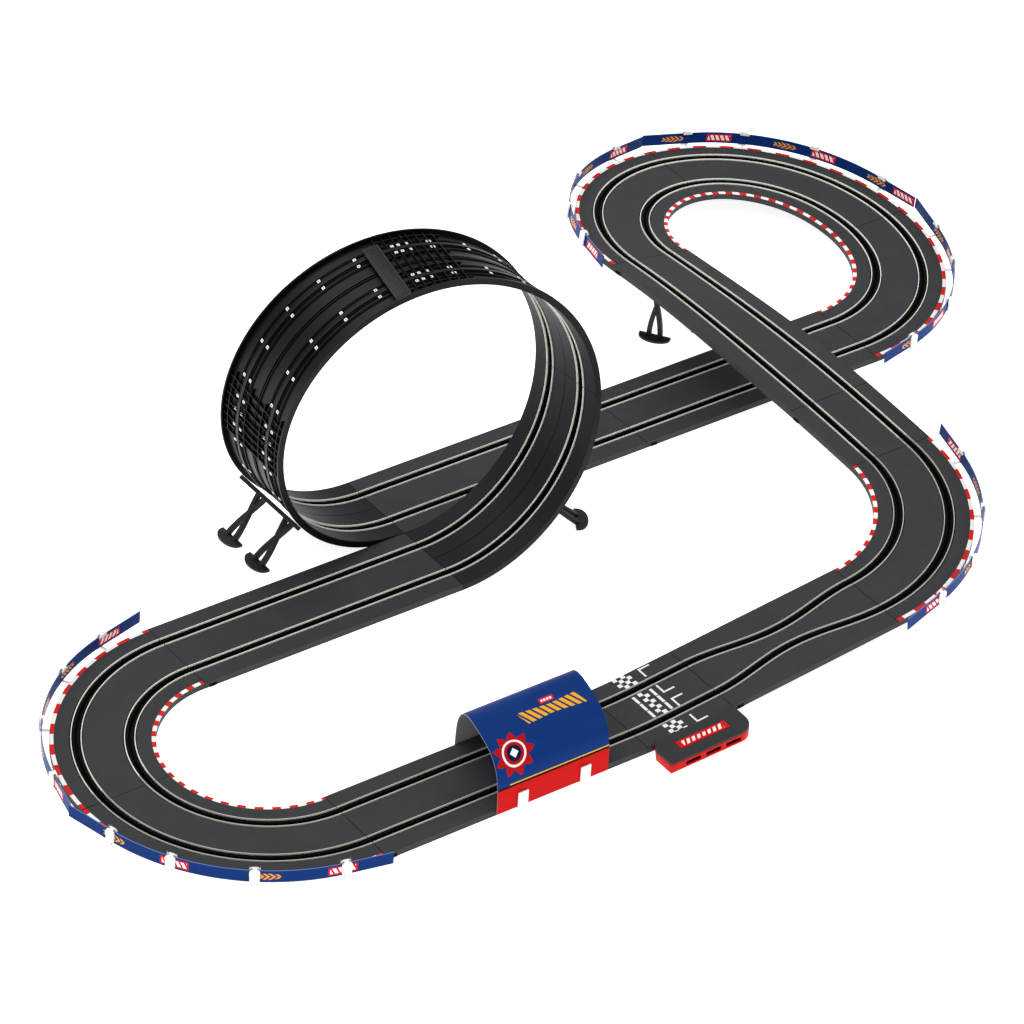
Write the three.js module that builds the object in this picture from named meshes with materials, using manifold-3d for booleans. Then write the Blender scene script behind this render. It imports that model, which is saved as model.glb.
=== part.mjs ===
// A two-lane slot car track set: a figure of eight with a vertical loop, a bridge
// over its own exit straight, a lane-narrowing section and a short tunnel.
// Millimetres, +Z up. The origin is the middle of the floor under the set.

import * as THREE from 'three';
import { mergeVertices } from 'three/addons/utils/BufferGeometryUtils.js';
import Module from 'manifold-3d';

const wasm = await Module();
wasm.setup();

// Layout of the track pieces
const STANDARD_LENGTH = 342;
const CONNECTING_LENGTH = 114;
const CURVE_RADIUS = 171;
const LOOP_RADIUS = 176;
const LOOP_STRETCH = 1.03;
const BRIDGE_RISE = 76;
const RAMP_LEAD = 10;
const RAMP_UP_EASES = [60, 350];
const RAMP_DOWN_EASES = [200, 300];
const BANK_ANGLE = THREE.MathUtils.degToRad(8);
const BANK_SPREAD = 330;

// Section of the moulded track
const TRACK_WIDTH = 113.4;
const TRACK_THICKNESS = 8;
const DECK = 2.6;
const SKIRT = 2.2;
const LANE_OFFSET = 28.5;
const NARROW_OFFSET = 15.5;
const SLOT_WIDTH = 3;
const SLOT_DEPTH = 6;
const SLOT_WALL = 1.4;
const RAIL_SPACING = 11;
const RAIL_WIDTH = 2.4;
const RAIL_HEIGHT = 0.9;
const RAIL_PROUD = 0.3;
const FIT_GAP = 0.3;
const SIDE_CLEARANCE = 0.6;
const CURVE_STEPS = 8;
const STRAIGHT_STEPS = 4;
const LOOP_ARCS = 4;

// Crash barriers on the outside of the curves, and the posts that hold them
const BARRIER_OFFSET = 8;
const BARRIER_THICKNESS = 1.2;
const BARRIER_BOTTOM = -1;
const BARRIER_TOP = 14;
const BARRIER_END_GAP = 1.5;
const POST_WIDTH = 10;
const POST_WALL = 2;
const POST_SLACK = 0.9;
const POST_SHARES = [0.16, 0.36, 0.6, 0.86];
const POSTS_KEPT = [1, 3];

// Tunnel and its clips
const TUNNEL_LENGTH = 146;
const TUNNEL_START = 156;
const TUNNEL_RISE = 60;
const TUNNEL_SKEW = 28;
const TUNNEL_SHEET = 1;
const TUNNEL_OFFSET = 1.6;
const TUNNEL_BOTTOM = -5.4;
const TUNNEL_POWER = 3.2;
const TUNNEL_STEPS = 28;
const TUNNEL_CLIP_INSET = 32;
const TUNNEL_CLIP_WIDTH = 13;
const TUNNEL_CLIP_TOP = 14;
const TUNNEL_CLIP_WALL = 1.8;

// Power housing beside the connecting section
const HOUSING_DEPTH = 41;
const HOUSING_END_GAP = 1;
const HOUSING_TOP = 6;
const HOUSING_SPLIT = 3;
const HOUSING_WALL = 2;
const HOUSING_NOTCH = [9, 14];
const HOUSING_CORNER = 18;
const HOUSING_CORNER_STEPS = 6;
const HOUSING_TILT = THREE.MathUtils.degToRad(2.5);
const HOUSING_FLOOR = 1.5;
const SOCKET_SIZE = [24, 15, 6.6];
const SOCKET_BORE = [20, 11, 5.2];
const SOCKET_PITCH = 27;
const BOARD_THICKNESS = 1.4;
const BOARD_MARGIN = 4;
const LABEL_SIZE = [66, 12, 1];

// Supports: crossed legs on a half-round foot
const FOOT_RADIUS = 19.5;
const FOOT_DEPTH = 12;
const FOOT_THICKNESS = 3;
const FOOT_RIM = 1;
const FOOT_STEPS = 12;
const LEG_WIDTH = 5.5;
const LEG_THICKNESS = 5;
const LEG_SPREAD = 7;
const LEG_CROSSING = 0.62;
const LEG_STEPS = 8;
const STRUT_TOP_GAP = 1.5;
const STRUT_ANGLE = THREE.MathUtils.degToRad(41.5);
const STRUT_REACH = 44;
const STRUT_LATERALS = [45, -10];
const STABILISER_ANGLE = THREE.MathUtils.degToRad(44);
const STABILISER_REACH = 70;
const STABILISER_LATERAL = 18;
const STABILISER_TURN = THREE.MathUtils.degToRad(31);
const BRIDGE_SUPPORT_SHIFTS = [-3.8, 6];
const BRIDGE_SUPPORT_SHORT_OF_JOINT = 50;
const BRIDGE_SUPPORT_TURN = THREE.MathUtils.degToRad(35);

// Strap and tie plate across the outside of the loop
const STRAP_ANGLE = THREE.MathUtils.degToRad(166.5);
const STRAP_SPAN = THREE.MathUtils.degToRad(5.5);
const STRAP_HEIGHT = 4;
const STRAP_SHORT_SIDE = 35;
const TIE_ANGLE = THREE.MathUtils.degToRad(52);
const TIE_HEIGHT = 5;
const TIE_THICKNESS = 2;

// Sizes that follow from the ones above
const HALF_WIDTH = TRACK_WIDTH / 2;
const LOOP_SHIFT = TRACK_WIDTH + SIDE_CLEARANCE;
const SHORT_LENGTH = 2 * CURVE_RADIUS + LOOP_SHIFT - STANDARD_LENGTH;
const NARROW_LENGTH = 2 * STANDARD_LENGTH - CONNECTING_LENGTH - 2 * CURVE_RADIUS;
const CURVE_LENGTH = (Math.PI / 2) * CURVE_RADIUS;
const FLOOR = -TRACK_THICKNESS;
const RECESS_HALF = RAIL_SPACING / 2 + RAIL_WIDTH / 2 + FIT_GAP;
const RECESS_FLOOR = -(RAIL_HEIGHT - RAIL_PROUD + FIT_GAP);
const UP = new THREE.Vector3(0, 0, 1);

const COLOURS = {
  track: [0x3c3e40, 0.62, 0],
  loop: [0x26282d, 0.5, 0],
  rail: [0xc9c7bb, 0.35, 0.9],
  barrier: [0x12337c, 0.4, 0],
  post: [0xf2f1ec, 0.45, 0],
  tunnel: [0x123579, 0.38, 0],
  cover: [0x37393b, 0.6, 0],
  base: [0xc9141c, 0.42, 0],
  label: [0xd8151d, 0.4, 0],
  socket: [0x1a1a1c, 0.5, 0],
  board: [0x1f6b3a, 0.5, 0],
  support: [0x25241f, 0.55, 0],
};

function material(kind) {
  const [color, roughness, metalness] = COLOURS[kind];
  return new THREE.MeshStandardMaterial({ color, roughness, metalness });
}

const group = new THREE.Group();
group.name = 'slot_car_track_set';
const layout = new THREE.Group();
group.add(layout);

function addPart(name, geometry, kind) {
  const mesh = new THREE.Mesh(geometry, material(kind));
  mesh.name = name;
  layout.add(mesh);
  return mesh;
}

// ---- Solids ---------------------------------------------------------------

function toSolid(geometry) {
  const bare = geometry.clone();
  bare.deleteAttribute('normal');
  bare.deleteAttribute('uv');
  const merged = mergeVertices(bare, 1e-4);
  return new wasm.Manifold(new wasm.Mesh({
    numProp: 3,
    vertProperties: new Float32Array(merged.attributes.position.array),
    triVerts: new Uint32Array(merged.index.array),
  }));
}

function toGeometry(solid) {
  const mesh = solid.getMesh();
  const geometry = new THREE.BufferGeometry();
  geometry.setAttribute('position', new THREE.BufferAttribute(mesh.vertProperties, 3));
  geometry.setIndex(new THREE.BufferAttribute(mesh.triVerts, 1));
  geometry.computeVertexNormals();
  return geometry;
}

function boxSolid(sizeX, sizeY, sizeZ, x, y, z) {
  return toSolid(new THREE.BoxGeometry(sizeX, sizeY, sizeZ).translate(x, y, z));
}

// A flat outline given as [x, y] points, as a prism from z = bottom to z = top.
function prism(outline, bottom, top) {
  const shape = new THREE.Shape(outline.map(([x, y]) => new THREE.Vector2(x, y)));
  const geometry = new THREE.ExtrudeGeometry(shape, { depth: top - bottom, bevelEnabled: false });
  return geometry.translate(0, 0, bottom);
}

// Triangles over a section, wound the way its points run.
function capTriangles(section) {
  const contour = section.map(([x, y]) => new THREE.Vector2(x, y));
  const triangles = THREE.ShapeUtils.triangulateShape(contour, []);
  return THREE.ShapeUtils.isClockWise(contour) ? triangles.map(([a, b, c]) => [a, c, b]) : triangles;
}

// A section of [side, up] points carried along frames. Each frame has a place,
// a side and an up direction. A ring closes on itself; otherwise both ends are capped.
function sweep(frames, sectionAt, ring = false) {
  const sections = frames.map((frame, i) => sectionAt(frame, i));
  const count = sections[0].length;
  const positions = [];
  frames.forEach((frame, i) => {
    for (const [side, up] of sections[i]) {
      const point = frame.place.clone().addScaledVector(frame.side, side).addScaledVector(frame.up, up);
      positions.push(point.x, point.y, point.z);
    }
  });
  const index = [];
  const spans = ring ? frames.length : frames.length - 1;
  for (let i = 0; i < spans; i += 1) {
    const here = i * count;
    const next = ((i + 1) % frames.length) * count;
    for (let j = 0; j < count; j += 1) {
      const k = (j + 1) % count;
      index.push(here + j, next + j, next + k, here + j, next + k, here + k);
    }
  }
  if (!ring) {
    const last = (frames.length - 1) * count;
    for (const [a, b, c] of capTriangles(sections[0])) index.push(a, b, c);
    for (const [a, b, c] of capTriangles(sections.at(-1))) index.push(last + a, last + c, last + b);
  }
  const geometry = new THREE.BufferGeometry();
  geometry.setAttribute('position', new THREE.Float32BufferAttribute(positions, 3));
  geometry.setIndex(index);
  return faceOutwards(geometry);
}

// Turns every triangle over when the enclosed volume comes out negative.
function faceOutwards(geometry) {
  const position = geometry.attributes.position;
  const index = geometry.index.array;
  const [a, b, c] = [new THREE.Vector3(), new THREE.Vector3(), new THREE.Vector3()];
  let volume = 0;
  for (let i = 0; i < index.length; i += 3) {
    a.fromBufferAttribute(position, index[i]);
    b.fromBufferAttribute(position, index[i + 1]);
    c.fromBufferAttribute(position, index[i + 2]);
    volume += a.dot(b.cross(c));
  }
  if (volume < 0) {
    for (let i = 0; i < index.length; i += 3) {
      [index[i + 1], index[i + 2]] = [index[i + 2], index[i + 1]];
    }
  }
  geometry.computeVertexNormals();
  return geometry;
}

// ---- Route ----------------------------------------------------------------

const route = { x: 0, y: -CURVE_RADIUS, heading: 0, distance: 0, pieces: {} };

function planPoint(start, turn, run) {
  if (turn === 0) {
    return {
      x: start.x + run * Math.cos(start.heading),
      y: start.y + run * Math.sin(start.heading),
      heading: start.heading,
      distance: start.distance + run,
    };
  }
  const heading = start.heading + (turn * run) / CURVE_RADIUS;
  return {
    x: start.x + (CURVE_RADIUS / turn) * (Math.sin(heading) - Math.sin(start.heading)),
    y: start.y - (CURVE_RADIUS / turn) * (Math.cos(heading) - Math.cos(start.heading)),
    heading,
    distance: start.distance + run,
  };
}

// Lays one piece from where the last one ended. turn is 0, or +1 to the left, or -1.
function lay(name, length, turn = 0) {
  const start = { x: route.x, y: route.y, heading: route.heading, distance: route.distance };
  const end = planPoint(start, turn, length);
  Object.assign(route, end);
  route.pieces[name] = { name, start, turn, length };
  return route.pieces[name];
}

lay('track_tunnel_straight', STANDARD_LENGTH);
lay('track_connecting_section', CONNECTING_LENGTH);
lay('track_narrow_section', NARROW_LENGTH);
lay('track_right_curve', CURVE_LENGTH, 1);
lay('track_short_straight', SHORT_LENGTH);
lay('track_bridge_straight', STANDARD_LENGTH);
lay('track_far_curve_1', CURVE_LENGTH, -1);
lay('track_far_curve_2', CURVE_LENGTH, -1);
lay('track_far_curve_3', CURVE_LENGTH, -1);
lay('track_underpass_straight', STANDARD_LENGTH);
lay('track_exit_straight', STANDARD_LENGTH);
const loopStart = { x: route.x, y: route.y };
route.y -= LOOP_SHIFT;
lay('track_return_straight', STANDARD_LENGTH);
lay('track_left_curve_1', CURVE_LENGTH, 1);
lay('track_left_curve_2', CURVE_LENGTH, 1);

const { pieces } = route;
const rampStart = pieces.track_connecting_section.start.distance - RAMP_LEAD;
const bridge = pieces.track_bridge_straight;
const rampTop = bridge.start.distance + bridge.length - CURVE_RADIUS;
const rampEnd = pieces.track_far_curve_3.start.distance + CURVE_LENGTH / 2;
const bankPeak = bridge.start.distance + bridge.length;

// Height after run along a slope that starts and ends level: a straight ramp with a
// parabola at its foot and another at its head.
function slopeHeight(run, total, [foot, head]) {
  const gradient = BRIDGE_RISE / (total - (foot + head) / 2);
  const toHead = total - run;
  if (run <= 0) return 0;
  if (toHead <= 0) return BRIDGE_RISE;
  if (run < foot) return (gradient * run ** 2) / (2 * foot);
  if (toHead < head) return BRIDGE_RISE - (gradient * toHead ** 2) / (2 * head);
  return gradient * (run - foot / 2);
}

// Height of the driving surface: one rise to the bridge and one fall from it.
function heightAt(distance) {
  const up = slopeHeight(distance - rampStart, rampTop - rampStart, RAMP_UP_EASES);
  const down = slopeHeight(rampEnd - distance, rampEnd - rampTop, RAMP_DOWN_EASES);
  return Math.min(up, down);
}

function bankAt(distance) {
  const share = Math.min(Math.abs(distance - bankPeak) / BANK_SPREAD, 1);
  return (BANK_ANGLE * (1 + Math.cos(Math.PI * share))) / 2;
}

function frameAt(piece, run) {
  const point = planPoint(piece.start, piece.turn, run);
  const step = 0.5;
  const slope = (heightAt(point.distance + step) - heightAt(point.distance - step)) / (2 * step);
  const forward = new THREE.Vector3(Math.cos(point.heading), Math.sin(point.heading), slope).normalize();
  const side = new THREE.Vector3(-Math.sin(point.heading), Math.cos(point.heading), 0);
  side.applyAxisAngle(forward, bankAt(point.distance));
  const up = new THREE.Vector3().crossVectors(forward, side);
  const place = new THREE.Vector3(point.x, point.y, heightAt(point.distance));
  return { place, forward, side, up, share: run / piece.length };
}

// Frames from run = from to run = to, closer together in curves.
function framesAlong(piece, from, to, steps) {
  return Array.from({ length: steps + 1 }, (_, i) => frameAt(piece, from + ((to - from) * i) / steps));
}

// The loop climbs from the exit straight, goes over its top and comes down beside
// its start, moved across by LOOP_SHIFT. It is taller than wide by LOOP_STRETCH.
function loopFrame(angle) {
  const at = (a) => new THREE.Vector3(
    loopStart.x - LOOP_RADIUS * Math.sin(a),
    loopStart.y - (LOOP_SHIFT * (a - Math.sin(a))) / (2 * Math.PI),
    LOOP_STRETCH * LOOP_RADIUS * (1 - Math.cos(a)),
  );
  const step = 1e-3;
  const forward = at(angle + step).sub(at(angle - step)).normalize();
  const inward = new THREE.Vector3(LOOP_STRETCH * Math.sin(angle), 0, Math.cos(angle));
  const side = new THREE.Vector3().crossVectors(inward, forward).normalize();
  const up = new THREE.Vector3().crossVectors(forward, side);
  return { place: at(angle), forward, side, up, share: 0 };
}

function loopFrames(from, to, steps) {
  return Array.from({ length: steps + 1 }, (_, i) => loopFrame(from + ((to - from) * i) / steps));
}

// ---- Track pieces and rails -----------------------------------------------

const laneOffsetAt = (piece, share) => {
  if (piece.name !== 'track_narrow_section') return LANE_OFFSET;
  const dip = (1 - Math.cos(2 * Math.PI * share)) / 2;
  return LANE_OFFSET - (LANE_OFFSET - NARROW_OFFSET) * dip;
};

function trackSection(offset) {
  const top = [-offset, offset].flatMap((lane) => [
    [lane - RECESS_HALF, 0],
    [lane - RECESS_HALF, RECESS_FLOOR],
    [lane - SLOT_WIDTH / 2, RECESS_FLOOR],
    [lane - SLOT_WIDTH / 2, -SLOT_DEPTH],
    [lane + SLOT_WIDTH / 2, -SLOT_DEPTH],
    [lane + SLOT_WIDTH / 2, RECESS_FLOOR],
    [lane + RECESS_HALF, RECESS_FLOOR],
    [lane + RECESS_HALF, 0],
  ]);
  const wellHalf = SLOT_WIDTH / 2 + SLOT_WALL;
  const wellDepth = SLOT_DEPTH + SLOT_WALL;
  const below = [offset, -offset].flatMap((lane) => [
    [lane + wellHalf, -DECK],
    [lane + wellHalf, -wellDepth],
    [lane - wellHalf, -wellDepth],
    [lane - wellHalf, -DECK],
  ]);
  return [
    [-HALF_WIDTH, -TRACK_THICKNESS],
    [-HALF_WIDTH, 0],
    ...top,
    [HALF_WIDTH, 0],
    [HALF_WIDTH, -TRACK_THICKNESS],
    [HALF_WIDTH - SKIRT, -TRACK_THICKNESS],
    [HALF_WIDTH - SKIRT, -DECK],
    ...below,
    [-HALF_WIDTH + SKIRT, -DECK],
    [-HALF_WIDTH + SKIRT, -TRACK_THICKNESS],
  ];
}

const railFrames = [];

function stepsFor(piece) {
  if (piece.turn !== 0) return CURVE_STEPS;
  if (piece.name === 'track_narrow_section') return 2 * STRAIGHT_STEPS;
  const level = heightAt(piece.start.distance) === heightAt(piece.start.distance + piece.length);
  return level && piece.name !== 'track_bridge_straight' ? 1 : STRAIGHT_STEPS;
}

function addTrack(piece) {
  const frames = framesAlong(piece, FIT_GAP / 2, piece.length - FIT_GAP / 2, stepsFor(piece));
  addPart(piece.name, sweep(frames, (frame) => trackSection(laneOffsetAt(piece, frame.share))), 'track');
  for (const frame of frames) {
    railFrames.push({ ...frame, lane: laneOffsetAt(piece, frame.share) });
  }
}

function addLoopArcs() {
  const arc = (2 * Math.PI) / LOOP_ARCS;
  const gap = FIT_GAP / 2 / LOOP_RADIUS;
  for (let i = 0; i < LOOP_ARCS; i += 1) {
    const frames = loopFrames(i * arc + gap, (i + 1) * arc - gap, CURVE_STEPS);
    addPart(`loop_arc_${i + 1}`, sweep(frames, () => trackSection(LANE_OFFSET)), 'loop');
    for (const frame of frames) railFrames.push({ ...frame, lane: LANE_OFFSET });
  }
}

for (const piece of Object.values(pieces)) {
  if (piece.name === 'track_return_straight') addLoopArcs();
  addTrack(piece);
}

// Each contact rail runs round the whole circuit and closes on itself.
function addRail(name, laneSide, railSide) {
  const floor = RECESS_FLOOR + FIT_GAP;
  const geometry = sweep(railFrames, (frame) => {
    const centre = laneSide * frame.lane + (railSide * RAIL_SPACING) / 2;
    return [
      [centre - RAIL_WIDTH / 2, floor],
      [centre + RAIL_WIDTH / 2, floor],
      [centre + RAIL_WIDTH / 2, RAIL_PROUD],
      [centre - RAIL_WIDTH / 2, RAIL_PROUD],
    ];
  }, true);
  addPart(name, geometry, 'rail');
}

addRail('rail_right_lane_outer', -1, -1);
addRail('rail_right_lane_inner', -1, 1);
addRail('rail_left_lane_inner', 1, -1);
addRail('rail_left_lane_outer', 1, 1);

// ---- Barriers and posts -----------------------------------------------------

// Section of a post: a plate outside the strip, a hook over its top and an arm to
// the track's edge. out is measured outwards from that edge.
function postSection() {
  const inner = BARRIER_OFFSET - POST_SLACK;
  const outer = BARRIER_OFFSET + BARRIER_THICKNESS + POST_SLACK;
  const hook = BARRIER_TOP + FIT_GAP;
  const armTop = BARRIER_BOTTOM - FIT_GAP;
  return [
    [FIT_GAP, armTop - POST_WALL],
    [outer + POST_WALL, armTop - POST_WALL],
    [outer + POST_WALL, hook + POST_WALL],
    [inner - POST_WALL / 2, hook + POST_WALL],
    [inner - POST_WALL / 2, hook - POST_WALL],
    [inner, hook - POST_WALL],
    [inner, hook],
    [outer, hook],
    [outer, armTop],
    [FIT_GAP, armTop],
  ];
}

// A strip bends at its posts and half-way between them, and its two free ends run
// straight on from the outer posts.
function addBarrier(piece, prefix, number) {
  const sign = piece.turn > 0 ? -1 : 1;
  const edge = sign * HALF_WIDTH;
  const out = (o) => edge + sign * o;
  const radius = CURVE_RADIUS + HALF_WIDTH + BARRIER_OFFSET;
  const bends = POST_SHARES.flatMap((share, i) => (
    i === 0 ? [share] : [(share + POST_SHARES[i - 1]) / 2, share]
  )).map((share) => share * piece.length);
  const ends = [BARRIER_END_GAP, piece.length - BARRIER_END_GAP];
  const flares = [bends[0] - ends[0], ends[1] - bends.at(-1)]
    .map((run) => radius * (1 / Math.cos(run / CURVE_RADIUS) - 1));
  const offsets = [flares[0], ...bends.map(() => 0), flares[1]];
  const frames = [ends[0], ...bends, ends[1]].map((run) => frameAt(piece, run));
  const strip = sweep(frames, (_, i) => {
    const near = BARRIER_OFFSET + offsets[i];
    const far = near + BARRIER_THICKNESS;
    return [
      [out(near), BARRIER_BOTTOM],
      [out(far), BARRIER_BOTTOM],
      [out(far), BARRIER_TOP],
      [out(near), BARRIER_TOP],
    ];
  });
  addPart(`${prefix}_barrier_${number}`, strip, 'barrier');
  const halfRun = ((POST_WIDTH / 2) * CURVE_RADIUS) / radius;
  for (const k of POSTS_KEPT) {
    const run = piece.length * POST_SHARES[k];
    const post = sweep(
      framesAlong(piece, run - halfRun, run + halfRun, 1),
      () => postSection().map(([o, up]) => [out(o), up]),
    );
    addPart(`${prefix}_post_${(number - 1) * POST_SHARES.length + k + 1}`, post, 'post');
  }
}

const barrierRuns = {
  left: ['track_left_curve_1', 'track_left_curve_2'],
  right: ['track_right_curve'],
  far: ['track_far_curve_1', 'track_far_curve_2', 'track_far_curve_3'],
};
for (const [prefix, names] of Object.entries(barrierRuns)) {
  names.forEach((name, i) => addBarrier(pieces[name], prefix, i + 1));
}

// ---- Tunnel -----------------------------------------------------------------

// A point of the arch at a distance inside its outer face; share 0 is the foot, 1 the crown.
function archPoint(share, inset) {
  const angle = (share * Math.PI) / 2;
  const halfSpan = HALF_WIDTH + TUNNEL_OFFSET + TUNNEL_SHEET - inset;
  const rise = TUNNEL_RISE - TUNNEL_BOTTOM - inset;
  return [
    halfSpan * Math.cos(angle) ** (2 / TUNNEL_POWER),
    TUNNEL_BOTTOM + rise * Math.sin(angle) ** (2 / TUNNEL_POWER),
  ];
}

function archOutline(inset) {
  const half = TUNNEL_STEPS / 2;
  const right = Array.from({ length: half + 1 }, (_, i) => archPoint(i / half, inset));
  const left = right.slice(0, -1).reverse().map(([y, z]) => [-y, z]);
  return [...right, ...left];
}

function addTunnel() {
  const outline = [...archOutline(0), ...archOutline(TUNNEL_SHEET).reverse()];
  const { start } = pieces.track_tunnel_straight;
  const slant = TUNNEL_SKEW / TRACK_WIDTH;
  const flatFrame = (x, side) => ({ place: new THREE.Vector3(x, start.y, 0), side, up: UP });
  const frames = [TUNNEL_START, TUNNEL_START + TUNNEL_LENGTH].map(
    (x) => flatFrame(x, new THREE.Vector3(slant, 1, 0)),
  );
  addPart('tunnel_arch', sweep(frames, () => outline), 'tunnel');

  const inner = HALF_WIDTH + TUNNEL_OFFSET + TUNNEL_SHEET + FIT_GAP;
  const section = [
    [HALF_WIDTH + FIT_GAP, FLOOR + FIT_GAP],
    [inner + TUNNEL_CLIP_WALL, FLOOR + FIT_GAP],
    [inner + TUNNEL_CLIP_WALL, TUNNEL_CLIP_TOP],
    [inner, TUNNEL_CLIP_TOP],
    [inner, TUNNEL_BOTTOM - FIT_GAP],
    [HALF_WIDTH + FIT_GAP, TUNNEL_BOTTOM - FIT_GAP],
  ];
  const ends = [TUNNEL_CLIP_INSET, TUNNEL_LENGTH - TUNNEL_CLIP_INSET];
  for (const [label, sign] of [['near', -1], ['away', 1]]) {
    ends.forEach((inset, i) => {
      const middle = TUNNEL_START + inset + sign * slant * HALF_WIDTH;
      const clipFrames = [middle - TUNNEL_CLIP_WIDTH / 2, middle + TUNNEL_CLIP_WIDTH / 2].map(
        (x) => flatFrame(x, new THREE.Vector3(0, 1, 0)),
      );
      const clip = sweep(clipFrames, () => section.map(([y, z]) => [sign * y, z]));
      addPart(`tunnel_clip_${label}_${i + 1}`, clip, 'post');
    });
  }
}
addTunnel();

// ---- Power housing ------------------------------------------------------------

// Plan of the housing, from its left end along the track and out to its front, with
// a notch at the inner left corner and a round front right corner.
function housingPlan(inset) {
  const [notchAlong, notchOut] = HOUSING_NOTCH;
  const left = inset;
  const right = CONNECTING_LENGTH - inset;
  const back = FIT_GAP + inset;
  const front = HOUSING_DEPTH - inset;
  const radius = HOUSING_CORNER - inset;
  const corner = Array.from({ length: HOUSING_CORNER_STEPS + 1 }, (_, i) => {
    const angle = (Math.PI / 2) * (1 - i / HOUSING_CORNER_STEPS);
    return [right - radius + radius * Math.cos(angle), front - radius + radius * Math.sin(angle)];
  });
  return [[notchAlong + inset, back], [left, notchOut + inset], [left, front], ...corner, [right, back]];
}

function addHousing() {
  const { start } = pieces.track_connecting_section;
  const edge = start.y - HALF_WIDTH;
  const place = (geometry) => geometry.translate(0, 0, -FLOOR)
    .rotateY(-HOUSING_TILT)
    .translate(start.x + HOUSING_END_GAP, edge - FIT_GAP, FLOOR);
  const plan = (inset) => housingPlan(inset).map(([along, out]) => [along, -out]);
  const [socketX, socketY, socketZ] = SOCKET_SIZE;
  const [boreX, boreY, boreZ] = SOCKET_BORE;
  const socketBottom = FLOOR + HOUSING_FLOOR + FIT_GAP;
  const socketMiddle = socketBottom + socketZ / 2;
  const boardBottom = socketBottom + socketZ + FIT_GAP;
  const middle = CONNECTING_LENGTH / 2;
  const socketOut = HOUSING_DEPTH - HOUSING_WALL - FIT_GAP - socketY / 2;

  const [labelX, labelY, labelZ] = LABEL_SIZE;
  const labelBottom = HOUSING_TOP - labelZ + FIT_GAP;
  const pocket = boxSolid(
    labelX + 2 * FIT_GAP, labelY + 2 * FIT_GAP, 2 * labelZ, middle, -HOUSING_DEPTH / 2, HOUSING_TOP,
  );
  const cover = toSolid(prism(plan(0), HOUSING_SPLIT, HOUSING_TOP)).subtract(pocket);
  addPart('housing_cover', place(toGeometry(cover)), 'cover');

  const wallTop = HOUSING_SPLIT - FIT_GAP;
  let base = toSolid(prism(plan(0), FLOOR, wallTop))
    .subtract(toSolid(prism(plan(HOUSING_WALL), FLOOR + HOUSING_FLOOR, wallTop + 1)));
  const mouths = [-1, 0, 1].map((k) => middle + k * SOCKET_PITCH);
  for (const x of mouths) {
    base = base.subtract(boxSolid(boreX, 4 * HOUSING_WALL, boreZ, x, -HOUSING_DEPTH, socketMiddle));
  }
  addPart('housing_base', place(toGeometry(base)), 'base');

  const boardX = SOCKET_PITCH * mouths.length;
  const boardY = HOUSING_DEPTH - 2 * (HOUSING_WALL + BOARD_MARGIN);
  const board = new THREE.BoxGeometry(boardX, boardY, BOARD_THICKNESS)
    .translate(middle, -HOUSING_DEPTH / 2, boardBottom + BOARD_THICKNESS / 2);
  addPart('circuit_board', place(board), 'board');

  const socketNames = ['power_socket', 'controller_socket_1', 'controller_socket_2'];
  mouths.forEach((x, i) => {
    const socket = boxSolid(socketX, socketY, socketZ, x, -socketOut, socketMiddle)
      .subtract(boxSolid(boreX, 2 * boreY, boreZ, x, -socketOut - socketY / 2, socketMiddle));
    addPart(socketNames[i], place(toGeometry(socket)), 'socket');
  });

  const label = new THREE.BoxGeometry(labelX, labelY, labelZ)
    .translate(middle, -HOUSING_DEPTH / 2, labelBottom + labelZ / 2);
  addPart('housing_label', place(label), 'label');
}
addHousing();

// ---- Supports -----------------------------------------------------------------

// One wavy leg in the plane of the support: it starts at side * LEG_SPREAD, crosses
// the middle at LEG_CROSSING of the length and ends on the other side.
function legOutline(side, length) {
  const middle = Array.from({ length: LEG_STEPS + 1 }, (_, i) => {
    const share = i / LEG_STEPS;
    const swing = Math.cos((Math.PI / 2) * (share / LEG_CROSSING));
    return [side * LEG_SPREAD * swing, length * share];
  });
  const shifted = (d) => middle.map(([x, y]) => [x + d, y]);
  return [...shifted(-LEG_WIDTH / 2), ...shifted(LEG_WIDTH / 2).reverse()];
}

// Crossed legs of a given length standing on a half-round foot. lean tips the legs
// back from the round side of the foot; the foot itself lies flat on the floor.
function supportGeometry(length, lean) {
  const legs = [-1, 1].map((side) => toSolid(prism(legOutline(side, length), 0, LEG_THICKNESS)
    .translate(0, 0, -LEG_THICKNESS / 2)
    .rotateX(Math.PI / 2 - lean)
    .translate(0, 0, FOOT_THICKNESS / 2)));
  const arc = Array.from({ length: FOOT_STEPS + 1 }, (_, i) => {
    const angle = Math.PI + (Math.PI * i) / FOOT_STEPS;
    return [FOOT_RADIUS * Math.cos(angle), FOOT_DEPTH * Math.sin(angle)];
  });
  const rim = LEG_THICKNESS / 2 + FOOT_RIM;
  const outline = [...arc, [FOOT_RADIUS, rim], [-FOOT_RADIUS, rim]];
  const foot = toSolid(prism(outline, 0, FOOT_THICKNESS));
  const cut = 4 * FOOT_RADIUS;
  const floorCut = boxSolid(cut, cut, cut, 0, 0, -cut / 2);
  return toGeometry(legs[0].add(legs[1]).add(foot).subtract(floorCut));
}

// Puts a support with its foot at (x, y) on the floor, its round side facing heading.
function addSupport(name, x, y, heading, length, lean) {
  const geometry = supportGeometry(length, lean)
    .rotateZ(heading + Math.PI / 2)
    .translate(x, y, FLOOR);
  addPart(name, geometry, 'support');
}

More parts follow.
